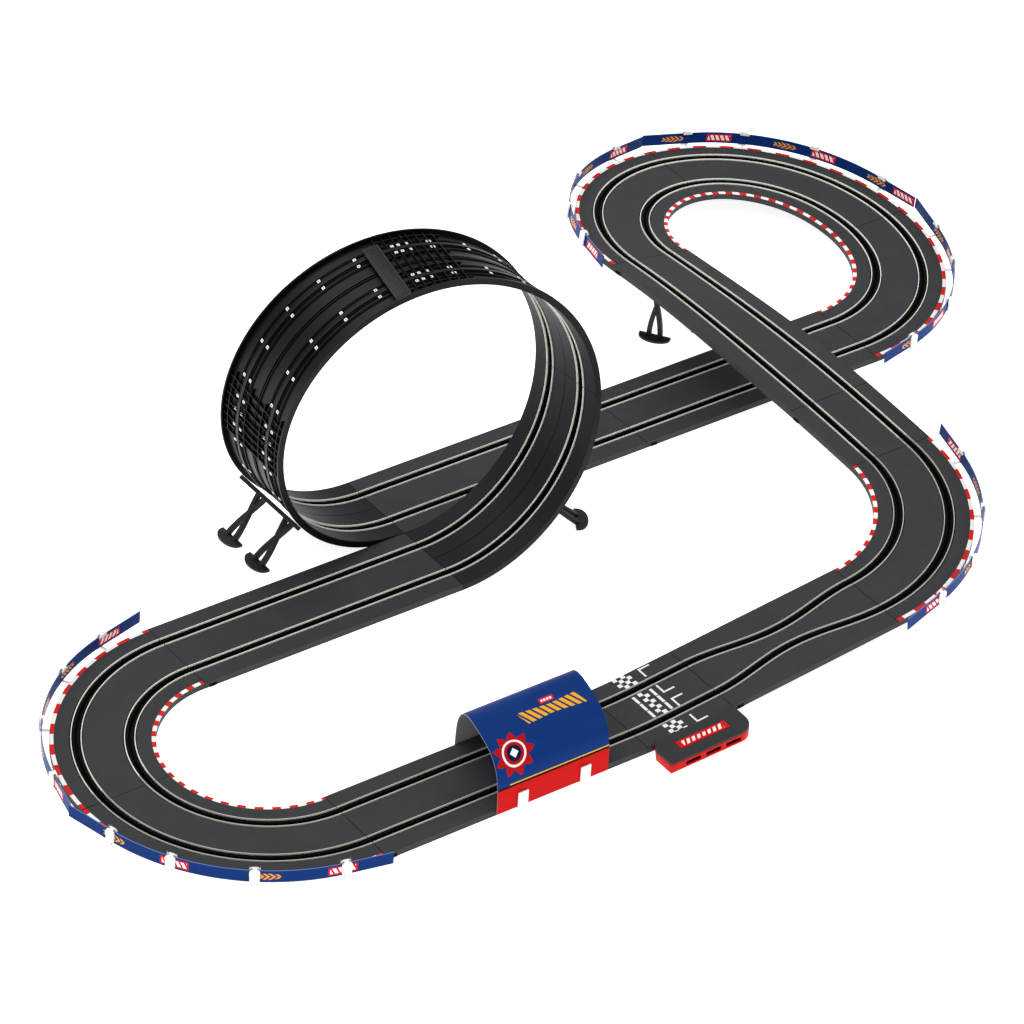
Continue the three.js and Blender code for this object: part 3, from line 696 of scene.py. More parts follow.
@dataclass
class Circuit:
    """The route of the whole set and the sizes that every sub-assembly shares."""

    standard: float = 342 * MM
    connecting: float = 114 * MM
    radius: float = 171 * MM
    loop_radius: float = 176 * MM
    loop_stretch: float = 1.03
    rise: float = 76 * MM
    ramp_lead: float = 10 * MM
    up_eases: tuple[float, float] = (60 * MM, 350 * MM)
    down_eases: tuple[float, float] = (200 * MM, 300 * MM)
    bank: float = math.radians(8)
    bank_spread: float = 330 * MM
    width: float = 113.4 * MM
    thickness: float = 8 * MM
    lane: float = 28.5 * MM
    narrow_lane: float = 15.5 * MM
    rail_spacing: float = 11 * MM
    joint_gap: float = 0.3 * MM
    clearance: float = 0.6 * MM
    origin: Vector = field(default_factory=Vector)
    runs: dict[str, Run] = field(default_factory=dict)

    def __post_init__(self) -> None:
        """Finds the route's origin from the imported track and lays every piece."""
        low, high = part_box("track_tunnel_straight")
        middle = (low.y + high.y) / 2
        self.origin = Vector((low.x - self.joint_gap / 2, middle + self.radius, low.z + self.thickness))
        self.half = self.width / 2
        self.shift = self.width + self.clearance
        quarter = math.pi / 2 * self.radius
        short = 2 * self.radius + self.shift - self.standard
        narrow = 2 * self.standard - self.connecting - 2 * self.radius
        state = [0.0, -self.radius, 0.0, 0.0]

        def lay(name: str, length: float, shape: Shape = Shape.STRAIGHT) -> None:
            """Adds one piece where the last one ended."""
            run = Run(name, *state, shape.value, length)
            self.runs[name] = run
            state[:] = self.plan(run, length)

        lay("track_tunnel_straight", self.standard)
        lay("track_connecting_section", self.connecting)
        lay("track_narrow_section", narrow)
        lay("track_right_curve", quarter, Shape.LEFT)
        lay("track_short_straight", short)
        lay("track_bridge_straight", self.standard)
        for number in (1, 2, 3):
            lay(f"track_far_curve_{number}", quarter, Shape.RIGHT)
        lay("track_underpass_straight", self.standard)
        lay("track_exit_straight", self.standard)
        self.loop_start = (state[0], state[1])
        state[1] -= self.shift
        lay("track_return_straight", self.standard)
        lay("track_left_curve_1", quarter, Shape.LEFT)
        lay("track_left_curve_2", quarter, Shape.LEFT)
        bridge = self.runs["track_bridge_straight"]
        last = self.runs["track_far_curve_3"]
        self.ramp_start = self.runs["track_connecting_section"].distance - self.ramp_lead
        self.ramp_top = bridge.distance + bridge.length - self.radius
        self.ramp_end = last.distance + quarter / 2
        self.bank_peak = bridge.distance + bridge.length

    def plan(self, run: Run, along: float) -> tuple[float, float, float, float]:
        """Where a piece has got to, seen from above.

        Args:
            run: The piece.
            along: Metres from its start.

        Returns:
            x, y, heading and distance along the whole route.
        """
        if run.turn == 0:
            x = run.x + along * math.cos(run.heading)
            y = run.y + along * math.sin(run.heading)
            return x, y, run.heading, run.distance + along
        heading = run.heading + run.turn * along / self.radius
        x = run.x + self.radius / run.turn * (math.sin(heading) - math.sin(run.heading))
        y = run.y - self.radius / run.turn * (math.cos(heading) - math.cos(run.heading))
        return x, y, heading, run.distance + along

    def slope(self, along: float, total: float, eases: tuple[float, float]) -> float:
        """The height on a slope that starts and ends level.

        Args:
            along: Metres from the slope's foot.
            total: The slope's length.
            eases: Lengths of the curved foot and head.

        Returns:
            The height in metres.
        """
        foot, head = eases
        gradient = self.rise / (total - (foot + head) / 2)
        left = total - along
        if along <= 0:
            return 0.0
        if left <= 0:
            return self.rise
        if along < foot:
            return gradient * along**2 / (2 * foot)
        if left < head:
            return self.rise - gradient * left**2 / (2 * head)
        return gradient * (along - foot / 2)

    def height(self, distance: float) -> float:
        """Height of the driving surface over the level track."""
        up = self.slope(distance - self.ramp_start, self.ramp_top - self.ramp_start, self.up_eases)
        down = self.slope(self.ramp_end - distance, self.ramp_end - self.ramp_top, self.down_eases)
        return min(up, down)

    def banking(self, distance: float) -> float:
        """How far the track leans there, in radians."""
        share = min(abs(distance - self.bank_peak) / self.bank_spread, 1)
        return self.bank * (1 + math.cos(math.pi * share)) / 2

    def station(self, run: Run, along: float) -> Station:
        """The station at a distance along a piece.

        Args:
            run: The piece.
            along: Metres from its start.

        Returns:
            The station.
        """
        x, y, heading, distance = self.plan(run, along)
        step = 0.5 * MM
        slope = (self.height(distance + step) - self.height(distance - step)) / (2 * step)
        forward = Vector((math.cos(heading), math.sin(heading), slope)).normalized()
        side = Vector((-math.sin(heading), math.cos(heading), 0))
        side = Matrix.Rotation(self.banking(distance), 3, forward) @ side
        place = self.origin + Vector((x, y, self.height(distance)))
        return Station(place, forward, side, forward.cross(side), along / run.length)

    def stations(self, run: Run, steps: int, start: float = 0.0, end: float | None = None) -> list[Station]:
        """Evenly spaced stations along a piece.

        Args:
            run: The piece.
            steps: How many spaces between them.
            start: Metres from the piece's start to the first.
            end: Metres from its start to the last; its full length if None.

        Returns:
            The stations in order.
        """
        end = run.length if end is None else end
        return [self.station(run, start + (end - start) * i / steps) for i in range(steps + 1)]

    def loop_station(self, angle: float, share: float = 0.0) -> Station:
        """The station at an angle round the loop from its bottom.

        Args:
            angle: Radians round the loop.
            share: The share to store.

        Returns:
            The station.
        """

        def at(a: float) -> Vector:
            """The loop's centre line at an angle."""
            across = self.shift * (a - math.sin(a)) / (2 * math.pi)
            x = self.loop_start[0] - self.loop_radius * math.sin(a)
            z = self.loop_stretch * self.loop_radius * (1 - math.cos(a))
            return self.origin + Vector((x, self.loop_start[1] - across, z))

        step = 1e-3
        forward = (at(angle + step) - at(angle - step)).normalized()
        inward = Vector((self.loop_stretch * math.sin(angle), 0, math.cos(angle)))
        side = inward.cross(forward).normalized()
        return Station(at(angle), forward, side, forward.cross(side), share)

    def loop_stations(self, start: float, end: float, steps: int) -> list[Station]:
        """Evenly spaced stations between two angles of the loop."""
        return [
            self.loop_station(start + (end - start) * i / steps, i / steps) for i in range(steps + 1)
        ]

    def lane_at(self, run: Run | None, share: float) -> float:
        """Distance of the lanes from the middle of the track.

        Args:
            run: The piece, or None on the loop.
            share: Share along it.

        Returns:
            The distance in metres.
        """
        if run is None or run.name != "track_narrow_section":
            return self.lane
        dip = (1 - math.cos(2 * math.pi * share)) / 2
        return self.lane - (self.lane - self.narrow_lane) * dip


# ---- Mesh tools -----------------------------------------------------------------


def dress(piece: bpy.types.Object, body: str, replaced: Iterable[str] = ()) -> bpy.types.Object:
    """Puts a finished piece on its body.

    Args:
        piece: The object, in place.
        body: The body that it rides on.
        replaced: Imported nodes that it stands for.

    Returns:
        The piece.
    """
    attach(piece, body)
    nodes = list(replaced)
    if nodes:
        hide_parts(*nodes)
    log.info("%s rides on %s: %d faces", piece.name, body, len(piece.data.polygons))
    return piece


def new_object(name: str, mesh: bpy.types.Mesh, finishes: Sequence[Moulding]) -> bpy.types.Object:
    """Makes an object with its materials.

    Args:
        name: The object's name.
        mesh: Its mesh.
        finishes: The finish of each material slot.

    Returns:
        The object.
    """
    for finish in finishes:
        mesh.materials.append(finish.make())
    piece = bpy.data.objects.new(name, mesh)
    bpy.context.scene.collection.objects.link(piece)
    return piece


def smooth(mesh: bpy.types.Mesh, angle: float = 32.0) -> None:
    """Shades a mesh smooth except over sharp edges."""
    mesh.polygons.foreach_set("use_smooth", [True] * len(mesh.polygons))
    mesh.set_sharp_from_angle(angle=math.radians(angle))


@dataclass
class Sweep:
    """A section carried along stations, with the strip map on it."""

    stations: list[Station]
    section: Callable[[Station], list[Point]]
    tones: list[int]
    marks: list[float] | None = None

    def mesh(self, name: str) -> bpy.types.Mesh:
        """Builds the closed mesh.

        Args:
            name: The mesh's name.

        Returns:
            The mesh, with faces pointing outwards.
        """
        sections = [self.section(station) for station in self.stations]
        count = len(sections[0])
        points = [
            station.point(side, up)
            for station, section in zip(self.stations, sections)
            for side, up in section
        ]
        faces: list[tuple[int, ...]] = []
        tones: list[int] = []
        places: list[Point] = []
        for i in range(len(self.stations) - 1):
            here, there = i * count, (i + 1) * count
            u0, u1 = self.stations[i].share, self.stations[i + 1].share
            for j in range(count):
                k = (j + 1) % count
                faces.append((here + j, here + k, there + k, there + j))
                tones.append(self.tones[j])
                v = [self._mark(sections[i], j), self._mark(sections[i], k)]
                w = [self._mark(sections[i + 1], k), self._mark(sections[i + 1], j)]
                places += [(u0, v[0]), (u0, v[1]), (u1, w[0]), (u1, w[1])]
        last = (len(self.stations) - 1) * count
        for base, section, share in (
            (0, sections[0], self.stations[0].share),
            (last, sections[-1], self.stations[-1].share),
        ):
            ring = tuple(base + j for j in range(count))
            faces.append(ring if base else ring[::-1])
            tones.append(self.tones[-1])
            places += [(share, 0.0)] * count
        mesh = bpy.data.meshes.new(name)
        mesh.from_pydata(points, [], faces)
        mesh.polygons.foreach_set("material_index", tones)
        layer = mesh.uv_layers.new(name=STRIP_UV)
        layer.data.foreach_set("uv", [value for pair in places for value in pair])
        work = bmesh.new()
        work.from_mesh(mesh)
        bmesh.ops.triangulate(work, faces=[f for f in work.faces if len(f.verts) > 4])
        bmesh.ops.recalc_face_normals(work, faces=work.faces)
        work.to_mesh(mesh)
        work.free()
        smooth(mesh)
        return mesh

    def _mark(self, section: list[Point], j: int) -> float:
        """The strip map's second coordinate at a point of the section."""
        return self.marks[j] if self.marks else section[j][0]


def refined(node: str, name: str, finish: Moulding, bevel: float) -> bpy.types.Object:
    """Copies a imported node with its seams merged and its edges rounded.

    Args:
        node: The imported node.
        name: The new object's name.
        finish: Its finish.
        bevel: Width of the rounded edges.

    Returns:
        The new object, which stands for the node.
    """
    work = bmesh.new()
    work.from_mesh(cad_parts[node].data)
    bmesh.ops.remove_doubles(work, verts=work.verts, dist=0.01 * MM)
    bmesh.ops.dissolve_limit(
        work, angle_limit=math.radians(0.5), verts=work.verts, edges=work.edges
    )
    bmesh.ops.recalc_face_normals(work, faces=work.faces)
    sharp = [e for e in work.edges if e.is_manifold and e.calc_face_angle(0) > math.radians(35)]
    bmesh.ops.bevel(
        work, geom=sharp, offset=bevel, segments=2, profile=0.6, affect="EDGES", clamp_overlap=True
    )
    for face in work.faces:
        face.material_index = 0
    mesh = bpy.data.meshes.new(name)
    bmesh.ops.triangulate(work, faces=[f for f in work.faces if len(f.verts) > 4])
    work.to_mesh(mesh)
    work.free()
    smooth(mesh, 40)
    return new_object(name, mesh, [finish])


def plate_mesh(
    name: str, outline: Sequence[Point], holes: Sequence[Sequence[Point]], depth: float
) -> bpy.types.Mesh:
    """A flat plate from an outline with holes, from y = 0 to y = depth.

    Args:
        name: The mesh's name.
        outline: x and z of its rim.
        holes: x and z of each hole's rim.
        depth: Its thickness.

    Returns:
        The mesh.
    """
    curve = bpy.data.curves.new(name, "CURVE")
    curve.dimensions = "2D"
    curve.fill_mode = "BOTH"
    curve.extrude = depth / 2 - 0.3 * MM
    curve.bevel_depth = 0.3 * MM
    curve.bevel_resolution = 1
    curve.offset = -0.3 * MM
    for rim in (outline, *holes):
        spline = curve.splines.new("POLY")
        spline.points.add(len(rim) - 1)
        spline.use_cyclic_u = True
        for point, (x, z) in zip(spline.points, rim):
            point.co = (x, z, 0, 1)
    made = bpy.data.objects.new(name, curve)
    mesh = bpy.data.meshes.new_from_object(made)
    bpy.data.objects.remove(made)
    mesh.transform(Matrix.Rotation(math.pi / 2, 4, "X"))
    mesh.transform(Matrix.Translation((0, depth / 2, 0)))
    work = bmesh.new()
    work.from_mesh(mesh)
    bmesh.ops.remove_doubles(work, verts=work.verts, dist=0.005 * MM)
    bmesh.ops.recalc_face_normals(work, faces=work.faces)
    work.to_mesh(mesh)
    work.free()
    mesh.materials.clear()
    return mesh


# ---- Geometry node trees ----------------------------------------------------------


class Repeats:
    """Copies of one small shape on stations, made by a geometry node tree."""

    def __init__(self, name: str, shape: bpy.types.Mesh, finish: Moulding) -> None:
        """Keeps the shape.

        Args:
            name: The finished object's name.
            shape: The mesh to repeat: x across, y along and z up.
            finish: The finish of every copy.
        """
        self.name = name
        self.shape = shape
        self.finish = finish

    def tree(self, source: bpy.types.Object) -> bpy.types.NodeTree:
        """Writes the tree that puts the shape on every point.

        Args:
            source: The object that holds the shape.

        Returns:
            The tree.
        """
        tree = bpy.data.node_groups.new(f"{self.name}_repeats", "GeometryNodeTree")
        tree.interface.new_socket("Points", in_out="INPUT", socket_type="NodeSocketGeometry")
        tree.interface.new_socket("Size", in_out="INPUT", socket_type="NodeSocketFloat")
        tree.interface.new_socket("Copies", in_out="OUTPUT", socket_type="NodeSocketGeometry")
        graph = Graph(tree)
        given = graph.node("NodeGroupInput")
        vector = {"data_type": "FLOAT_VECTOR"}
        turn = graph.node("GeometryNodeInputNamedAttribute", vector, {"Name": "turn"})
        shape = graph.node("GeometryNodeObjectInfo", {}, {"Object": source})
        copies = graph.node(
            "GeometryNodeInstanceOnPoints",
            {},
            {
                "Points": given.outputs["Points"],
                "Instance": shape.outputs["Geometry"],
                "Rotation": turn.outputs["Attribute"],
                "Scale": given.outputs["Size"],
            },
        )
        real = graph.node("GeometryNodeRealizeInstances", {}, {0: copies.outputs[0]})
        painted = graph.node(
            "GeometryNodeSetMaterial", {}, {"Geometry": real.outputs[0], "Material": self.finish.make()}
        )
        graph.node("NodeGroupOutput", {}, {0: painted.outputs[0]})
        return tree

    def build(self, stations: Sequence[tuple[Vector, Matrix]], size: float = 1.0) -> bpy.types.Object:
        """Puts a copy at every place.

        Args:
            stations: A place and a turn for each copy.
            size: Scale of the copies.

        Returns:
            One plain object with all the copies.
        """
        source = bpy.data.objects.new(f"{self.name}_shape", self.shape)
        bpy.context.scene.collection.objects.link(source)
        mesh = bpy.data.meshes.new(self.name)
        mesh.from_pydata([place for place, _ in stations], [], [])
        turns = mesh.attributes.new("turn", "FLOAT_VECTOR", "POINT")
        turns.data.foreach_set("vector", [v for _, turn in stations for v in turn.to_euler()])
        return evaluate(self.name, mesh, self.tree(source), {"Size": size}, [source])


class PathSweep:
    """A small profile carried along many paths, made by a geometry node tree."""

    def __init__(self, name: str, profile: Sequence[Point], finish: Moulding) -> None:
        """Keeps the profile.

        Args:
            name: The finished object's name.
            profile: Points across and up, in order round it.
            finish: The finish.
        """
        self.name = name
        self.profile = profile
        self.finish = finish

    def tree(self, source: bpy.types.Object) -> bpy.types.NodeTree:
        """Writes the tree that carries the profile along the paths.

        Args:
            source: The object that holds the profile's edges.

        Returns:
            The tree.
        """
        tree = bpy.data.node_groups.new(f"{self.name}_sweep", "GeometryNodeTree")
        tree.interface.new_socket("Paths", in_out="INPUT", socket_type="NodeSocketGeometry")
        tree.interface.new_socket("Copies", in_out="OUTPUT", socket_type="NodeSocketGeometry")
        graph = Graph(tree)
        given = graph.node("NodeGroupInput")
        vector = {"data_type": "FLOAT_VECTOR"}
        up = graph.node("GeometryNodeInputNamedAttribute", vector, {"Name": "up"})
        path = graph.node("GeometryNodeMeshToCurve", {}, {0: given.outputs["Paths"]})
        held = graph.node(
            "GeometryNodeSetCurveNormal",
            {"mode": "FREE"},
            {"Curve": path.outputs[0], "Normal": up.outputs["Attribute"]},
        )
        shape = graph.node("GeometryNodeObjectInfo", {}, {"Object": source})
        ring = graph.node("GeometryNodeMeshToCurve", {}, {0: shape.outputs["Geometry"]})
        swept = graph.node(
            "GeometryNodeCurveToMesh",
            {},
            {"Curve": held.outputs[0], "Profile Curve": ring.outputs[0], "Fill Caps": True},
        )
        real = graph.node("GeometryNodeRealizeInstances", {}, {0: swept.outputs[0]})
        painted = graph.node(
            "GeometryNodeSetMaterial", {}, {"Geometry": real.outputs[0], "Material": self.finish.make()}
        )
        graph.node("NodeGroupOutput", {}, {0: painted.outputs[0]})
        return tree

    def build(self, paths: Sequence[Sequence[tuple[Vector, Vector]]]) -> bpy.types.Object:
        """Sweeps every path.

        Args:
            paths: Each path's places and up directions.

        Returns:
            One plain object with all of them.
        """
        ring = bpy.data.meshes.new(f"{self.name}_profile")
        count = len(self.profile)
        edges = [(j, (j + 1) % count) for j in range(count)]
        ring.from_pydata([(x, y, 0) for x, y in self.profile], edges, [])
        source = bpy.data.objects.new(f"{self.name}_profile", ring)
        bpy.context.scene.collection.objects.link(source)
        places: list[Vector] = []
        ups: list[float] = []
        links: list[tuple[int, int]] = []
        for path in paths:
            start = len(places)
            places += [place for place, _ in path]
            ups += [value for _, up in path for value in up]
            links += [(start + j, start + j + 1) for j in range(len(path) - 1)]
        mesh = bpy.data.meshes.new(self.name)
        mesh.from_pydata(places, links, [])
        mesh.attributes.new("up", "FLOAT_VECTOR", "POINT").data.foreach_set("vector", ups)
        made = evaluate(self.name, mesh, self.tree(source), {}, [source])
        smooth(made.data, 50)
        return made


def evaluate(
    name: str,
    mesh: bpy.types.Mesh,
    tree: bpy.types.NodeTree,
    values: dict[str, float],
    helpers: Sequence[bpy.types.Object],
) -> bpy.types.Object:
    """Runs a geometry node tree and keeps its result as a plain mesh.

    Args:
        name: The finished object's name.
        mesh: The mesh that the tree starts from.
        tree: The tree.
        values: The tree's inputs by name.
        helpers: Objects that the tree reads, removed afterwards.

    Returns:
        The finished object.
    """
    host = bpy.data.objects.new(f"{name}_host", mesh)
    bpy.context.scene.collection.objects.link(host)
    modifier = host.modifiers.new("tree", "NODES")
    modifier.node_group = tree
    for item in tree.interface.items_tree:
        if item.item_type == "SOCKET" and item.in_out == "INPUT" and item.name in values:
            modifier[item.identifier] = values[item.name]
    graph = bpy.context.evaluated_depsgraph_get()
    result = bpy.data.meshes.new_from_object(host.evaluated_get(graph))
    result.name = name
    host.modifiers.remove(modifier)
    for thing in (host, *helpers):
        bpy.data.objects.remove(thing)
    work = bmesh.new()
    work.from_mesh(result)
    bmesh.ops.recalc_face_normals(work, faces=work.faces)
    work.to_mesh(result)
    work.free()
    made = bpy.data.objects.new(name, result)
    bpy.context.scene.collection.objects.link(made)
    return made


def box_mesh(name: str, size: tuple[float, float, float], bevel: float) -> bpy.types.Mesh:
    """A block with rounded edges, centred on the origin.

    Args:
        name: The mesh's name.
        size: Its x, y and z.
        bevel: Width of the rounded edges.

    Returns:
        The mesh.
    """
    work = bmesh.new()
    bmesh.ops.create_cube(work, size=1)
    bmesh.ops.scale(work, vec=size, verts=work.verts)
    bmesh.ops.bevel(work, geom=list(work.edges), offset=bevel, segments=1, affect="EDGES")
    mesh = bpy.data.meshes.new(name)
    work.to_mesh(mesh)
    work.free()
    return mesh


def facing(station: Station) -> Matrix:
    """The turn that lays x across, y along and z up at a station."""
    return Matrix((-station.side, station.forward, station.up)).transposed()


# ---- Track ----------------------------------------------------------------------


class Tone(Enum):
    """Materials of a length of track."""

    DECK = 0
    # The slots and the recesses round them, painted near black as shade.
    RECESS = 1
    UNDER = 2


@dataclass
class Track:
    """The driving surface: every flat piece with its slots and its hollow underside."""

    circuit: Circuit
    deck: float = 2.6 * MM
    skirt: float = 2.2 * MM
    slot_half: float = 1.5 * MM
    slot_depth: float = 6 * MM
    slot_wall: float = 1.4 * MM
    recess_half: float = 7 * MM
    recess_depth: float = 0.9 * MM
    edge: float = 0.5 * MM
    rib_height: float = 2.2 * MM
    rib_width: float = 0.9 * MM
    rib_offsets: tuple[float, ...] = (9 * MM,)
    middle_rib_offset: float = 1.6 * MM
    middle_rib_width: float = 0.8 * MM
    groove: float = 0.0
    curve_steps: int = 45
    straight_steps: int = 24

    def section(self, lane: float) -> tuple[list[Point], list[int]]:
        """The track's section with its lanes at an offset.

        Args:
            lane: Distance of each lane from the middle.

        Returns:
            The points and the tone of each face that starts at them.
        """
        half, low = self.circuit.half, -self.circuit.thickness
        # Faces marked dark take the painted slot shade.
        deck, dark, under = Tone.DECK.value, Tone.RECESS.value, Tone.UNDER.value
        rows: list[tuple[float, float, int]] = [
            (-half, low, under),
            (-half, -self.edge, deck),
            (-half + self.edge, 0, deck),
        ]
        for middle in (-lane, lane):
            if middle > 0 and self.groove:
                side = self.groove / 2
                rows += [
                    (-side, 0, dark),
                    (-side, -self.groove, dark),
                    (side, -self.groove, dark),
                    (side, 0, deck),
                ]
            rows += [
                (middle - self.recess_half, 0, dark),
                (middle - self.recess_half, -self.recess_depth, dark),
                (middle - self.slot_half, -self.recess_depth, dark),
                (middle - self.slot_half, -self.slot_depth, dark),
                (middle + self.slot_half, -self.slot_depth, dark),
                (middle + self.slot_half, -self.recess_depth, dark),
                (middle + self.recess_half, -self.recess_depth, dark),
                (middle + self.recess_half, 0, deck),
            ]
        rows += [
            (half - self.edge, 0, deck),
            (half, -self.edge, under),
            (half, low, under),
            (half - self.skirt, low, under),
            (half - self.skirt, -self.deck, under),
        ]
        well = self.slot_half + self.slot_wall
        depth = self.slot_depth + self.slot_wall
        for middle in (lane, -lane):
            if middle < 0:
                rows += self.rib(self.middle_rib_offset, self.middle_rib_width)
                rows += self.rib(-self.middle_rib_offset, self.middle_rib_width)
            for offset in self.rib_offsets[::-1]:
                rows += self.rib(middle + offset, self.rib_width)
            rows += [
                (middle + well, -self.deck, under),
                (middle + well, -depth, under),
                (middle - well, -depth, under),
                (middle - well, -self.deck, under),
            ]
            for offset in self.rib_offsets:
                rows += self.rib(middle - offset, self.rib_width)
        rows += [
            (-half + self.skirt, -self.deck, under),
            (-half + self.skirt, low, under),
        ]
        return [(x, y) for x, y, _ in rows], [tone for _, _, tone in rows]

    def rib(self, middle: float, width: float) -> list[tuple[float, float, int]]:
        """A thin rib under the deck.

        Args:
            middle: Its place across the track.
            width: Its width.

        Returns:
            Its rows in the section.
        """
        low = -self.deck - self.rib_height
        under = Tone.UNDER.value
        return [
            (middle + width / 2, -self.deck, under),
            (middle + width / 2, low, under),
            (middle - width / 2, low, under),
            (middle - width / 2, -self.deck, under),
        ]

    def finish(self, run: Run) -> Deck:
        """The deck's finish on a piece."""
        if run.turn:
            return Deck.of(TRACK_PLASTIC, "deck_curve", run.length, kerbed=True)
        if run.name == "track_connecting_section":
            return StartDeck.of(TRACK_PLASTIC, "deck_start", run.length)
        return Deck.of(TRACK_PLASTIC, f"deck_{round(run.length / MM)}", run.length)

    def steps(self, run: Run) -> int:
        """How many spaces between stations a piece needs."""
        return self.curve_steps if run.turn else self.straight_steps

    def build(self) -> list[bpy.types.Object]:
        """Builds every flat piece.

        Returns:
            The finished objects.
        """
        made = []
        gap = self.circuit.joint_gap / 2
        for run in self.circuit.runs.values():
            stations = self.circuit.stations(run, self.steps(run), gap, run.length - gap)
            _, tones = self.section(self.circuit.lane)

            def section(station: Station, run: Run = run) -> list[Point]:
                """The section at a station of this piece."""
                return self.section(self.circuit.lane_at(run, station.share))[0]

            mesh = Sweep(stations, section, tones).mesh(f"{run.name}_look")
            # The second finish is the painted slot shade.
            finishes = [self.finish(run), SLOT_SHADE_AND_TONGUE_BLACK, TRACK_PLASTIC]
            piece = new_object(f"{run.name}_look", mesh, finishes)
            made.append(dress(piece, CIRCUIT_BODY, [run.name]))
        return made


@dataclass
class Loop(Track):
    """The vertical loop: four arcs with ribs, pockets and contact tabs on their backs."""

    slot_depth: float = 4.2 * MM
    slot_wall: float = 0.8 * MM
    rib_height: float = 1.4 * MM
    rib_width: float = 0.5 * MM
    rib_offsets: tuple[float, ...] = (4.0 * MM, 8.6 * MM, 10.4 * MM)
    groove: float = 0.7 * MM
    arcs: int = 4
    arc_steps: int = 60
    tab_pitch: float = math.radians(13.9)
    tab_first: float = math.radians(7.4)
    tab_size: tuple[float, float, float] = (3.8 * MM, 3.6 * MM, 0.7 * MM)
    tab_offset: float = 6.0 * MM
    tab_hole: float = 0.8 * MM
    tab_count: int = 26
    joint_tabs: tuple[float, ...] = (84.0, 96.0, 176.5, 179.5, 187.5, 264.0)
    grid_joints: tuple[float, ...] = (math.radians(90), math.radians(180), math.radians(270))
    grid_span: float = math.radians(13)
    grid_rows: int = 4
    grid_bar: float = 1.0 * MM
    grid_bar_length: float = 8 * MM
    grid_bar_offsets: tuple[float, ...] = (-14 * MM, 14 * MM, -46 * MM, 46 * MM)

    def build(self) -> list[bpy.types.Object]:
        """Builds the arcs, the contact tabs and the pockets by the joints.

        Returns:
            The finished objects.
        """
        made = []
        arc = 2 * math.pi / self.arcs
        gap = self.circuit.joint_gap / 2 / self.circuit.loop_radius
        points, tones = self.section(self.circuit.lane)
        deck = Deck.of(LOOP_PLASTIC, "deck_loop", arc * self.circuit.loop_radius)
        for number in range(self.arcs):
            start, end = number * arc + gap, (number + 1) * arc - gap
            stations = self.circuit.loop_stations(start, end, self.arc_steps)
            mesh = Sweep(stations, lambda _: points, tones).mesh(f"loop_arc_{number + 1}_look")
            # The arcs' undersides take the painted shade of the loop's back.
            piece = new_object(mesh.name, mesh, [deck, SLOT_SHADE_AND_TONGUE_BLACK, LOOP_UNDER_SHADE])
            made.append(dress(piece, CIRCUIT_BODY, [f"loop_arc_{number + 1}"]))
        made.append(self.build_tabs())
        made.append(self.build_grid())
        return made

    def build_tabs(self) -> bpy.types.Object:
        """Puts pairs of bright contact tabs under the deck beside each lane.

        Returns:
            The finished object.
        """
        width, length, thick = self.tab_size
        mesh = plate_mesh(
            "contact_tab",
            [(x * width / 2, y * length / 2) for x, y in ((-1, -1), (1, -1), (1, 1), (-1, 1))],
            [ring(0.0, 0.0, self.tab_hole, 10)],
            thick,
        )
        mesh.transform(Matrix.Rotation(math.pi / 2, 4, "X"))
        angles = [self.tab_first + i * self.tab_pitch for i in range(self.tab_count)]
        angles += [math.radians(a) for a in self.joint_tabs]
        depth = -self.deck - self.rib_height - thick
        places = []
        for angle in angles:
            station = self.circuit.loop_station(angle)
            for lane in (-self.circuit.lane, self.circuit.lane):
                for offset in (-self.tab_offset, self.tab_offset):
                    places.append((station.point(lane + offset, depth), facing(station)))
        tabs = Repeats("loop_contact_tabs", mesh, TAB_METAL).build(places)
        return dress(tabs, CIRCUIT_BODY)

    def build_grid(self) -> bpy.types.Object:
        """Puts a grid of bars under the deck on both sides of the joints above the ground.

        Returns:
            The finished object.
        """
        lane, half = self.circuit.lane, self.circuit.half
        well = self.slot_half + self.slot_wall
        inner, outer = 2 * (lane - well), half - self.skirt - lane - well
        edge = lane + well + outer / 2
        height = 2.2 * self.rib_height
        level = -self.deck - height / 2
        across = ((0.0, inner), (edge, outer), (-edge, outer))
        bars = [((width, self.grid_bar, height), (x, 0.0)) for x, width in across]
        for x in self.grid_bar_offsets:
            size = (self.grid_bar, self.grid_bar_length, height)
            bars.append((size, (x, self.grid_bar_length / 2)))
        merged = bmesh.new()
        for size, (x, y) in bars:
            bar = box_mesh("grid_bar", size, 0.15 * MM)
            bar.transform(Matrix.Translation((x, y, level)))
            merged.from_mesh(bar)
        shape = bpy.data.meshes.new("cross_ribs")
        merged.to_mesh(shape)
        merged.free()
        places = []
        for joint in self.grid_joints:
            for side in (-1, 1):
                for row in range(self.grid_rows):
                    angle = joint + side * (row + 0.35) * self.grid_span / self.grid_rows
                    station = self.circuit.loop_station(angle)
                    places.append((station.place, facing(station)))
        # The cross bars take the same painted shade as the loop's underside.
        ribs = Repeats("loop_cross_ribs", shape, LOOP_UNDER_SHADE).build(places)
        return dress(ribs, CIRCUIT_BODY)


def ring(x: float, y: float, radius: float, count: int) -> list[Point]:
    """Points round a circle.

    Args:
        x: The circle's middle.
        y: The circle's middle.
        radius: Its radius.
        count: How many points.

    Returns:
        The points in order.
    """
    angles = [2 * math.pi * i / count for i in range(count)]
    return [(x + radius * math.cos(a), y + radius * math.sin(a)) for a in angles]


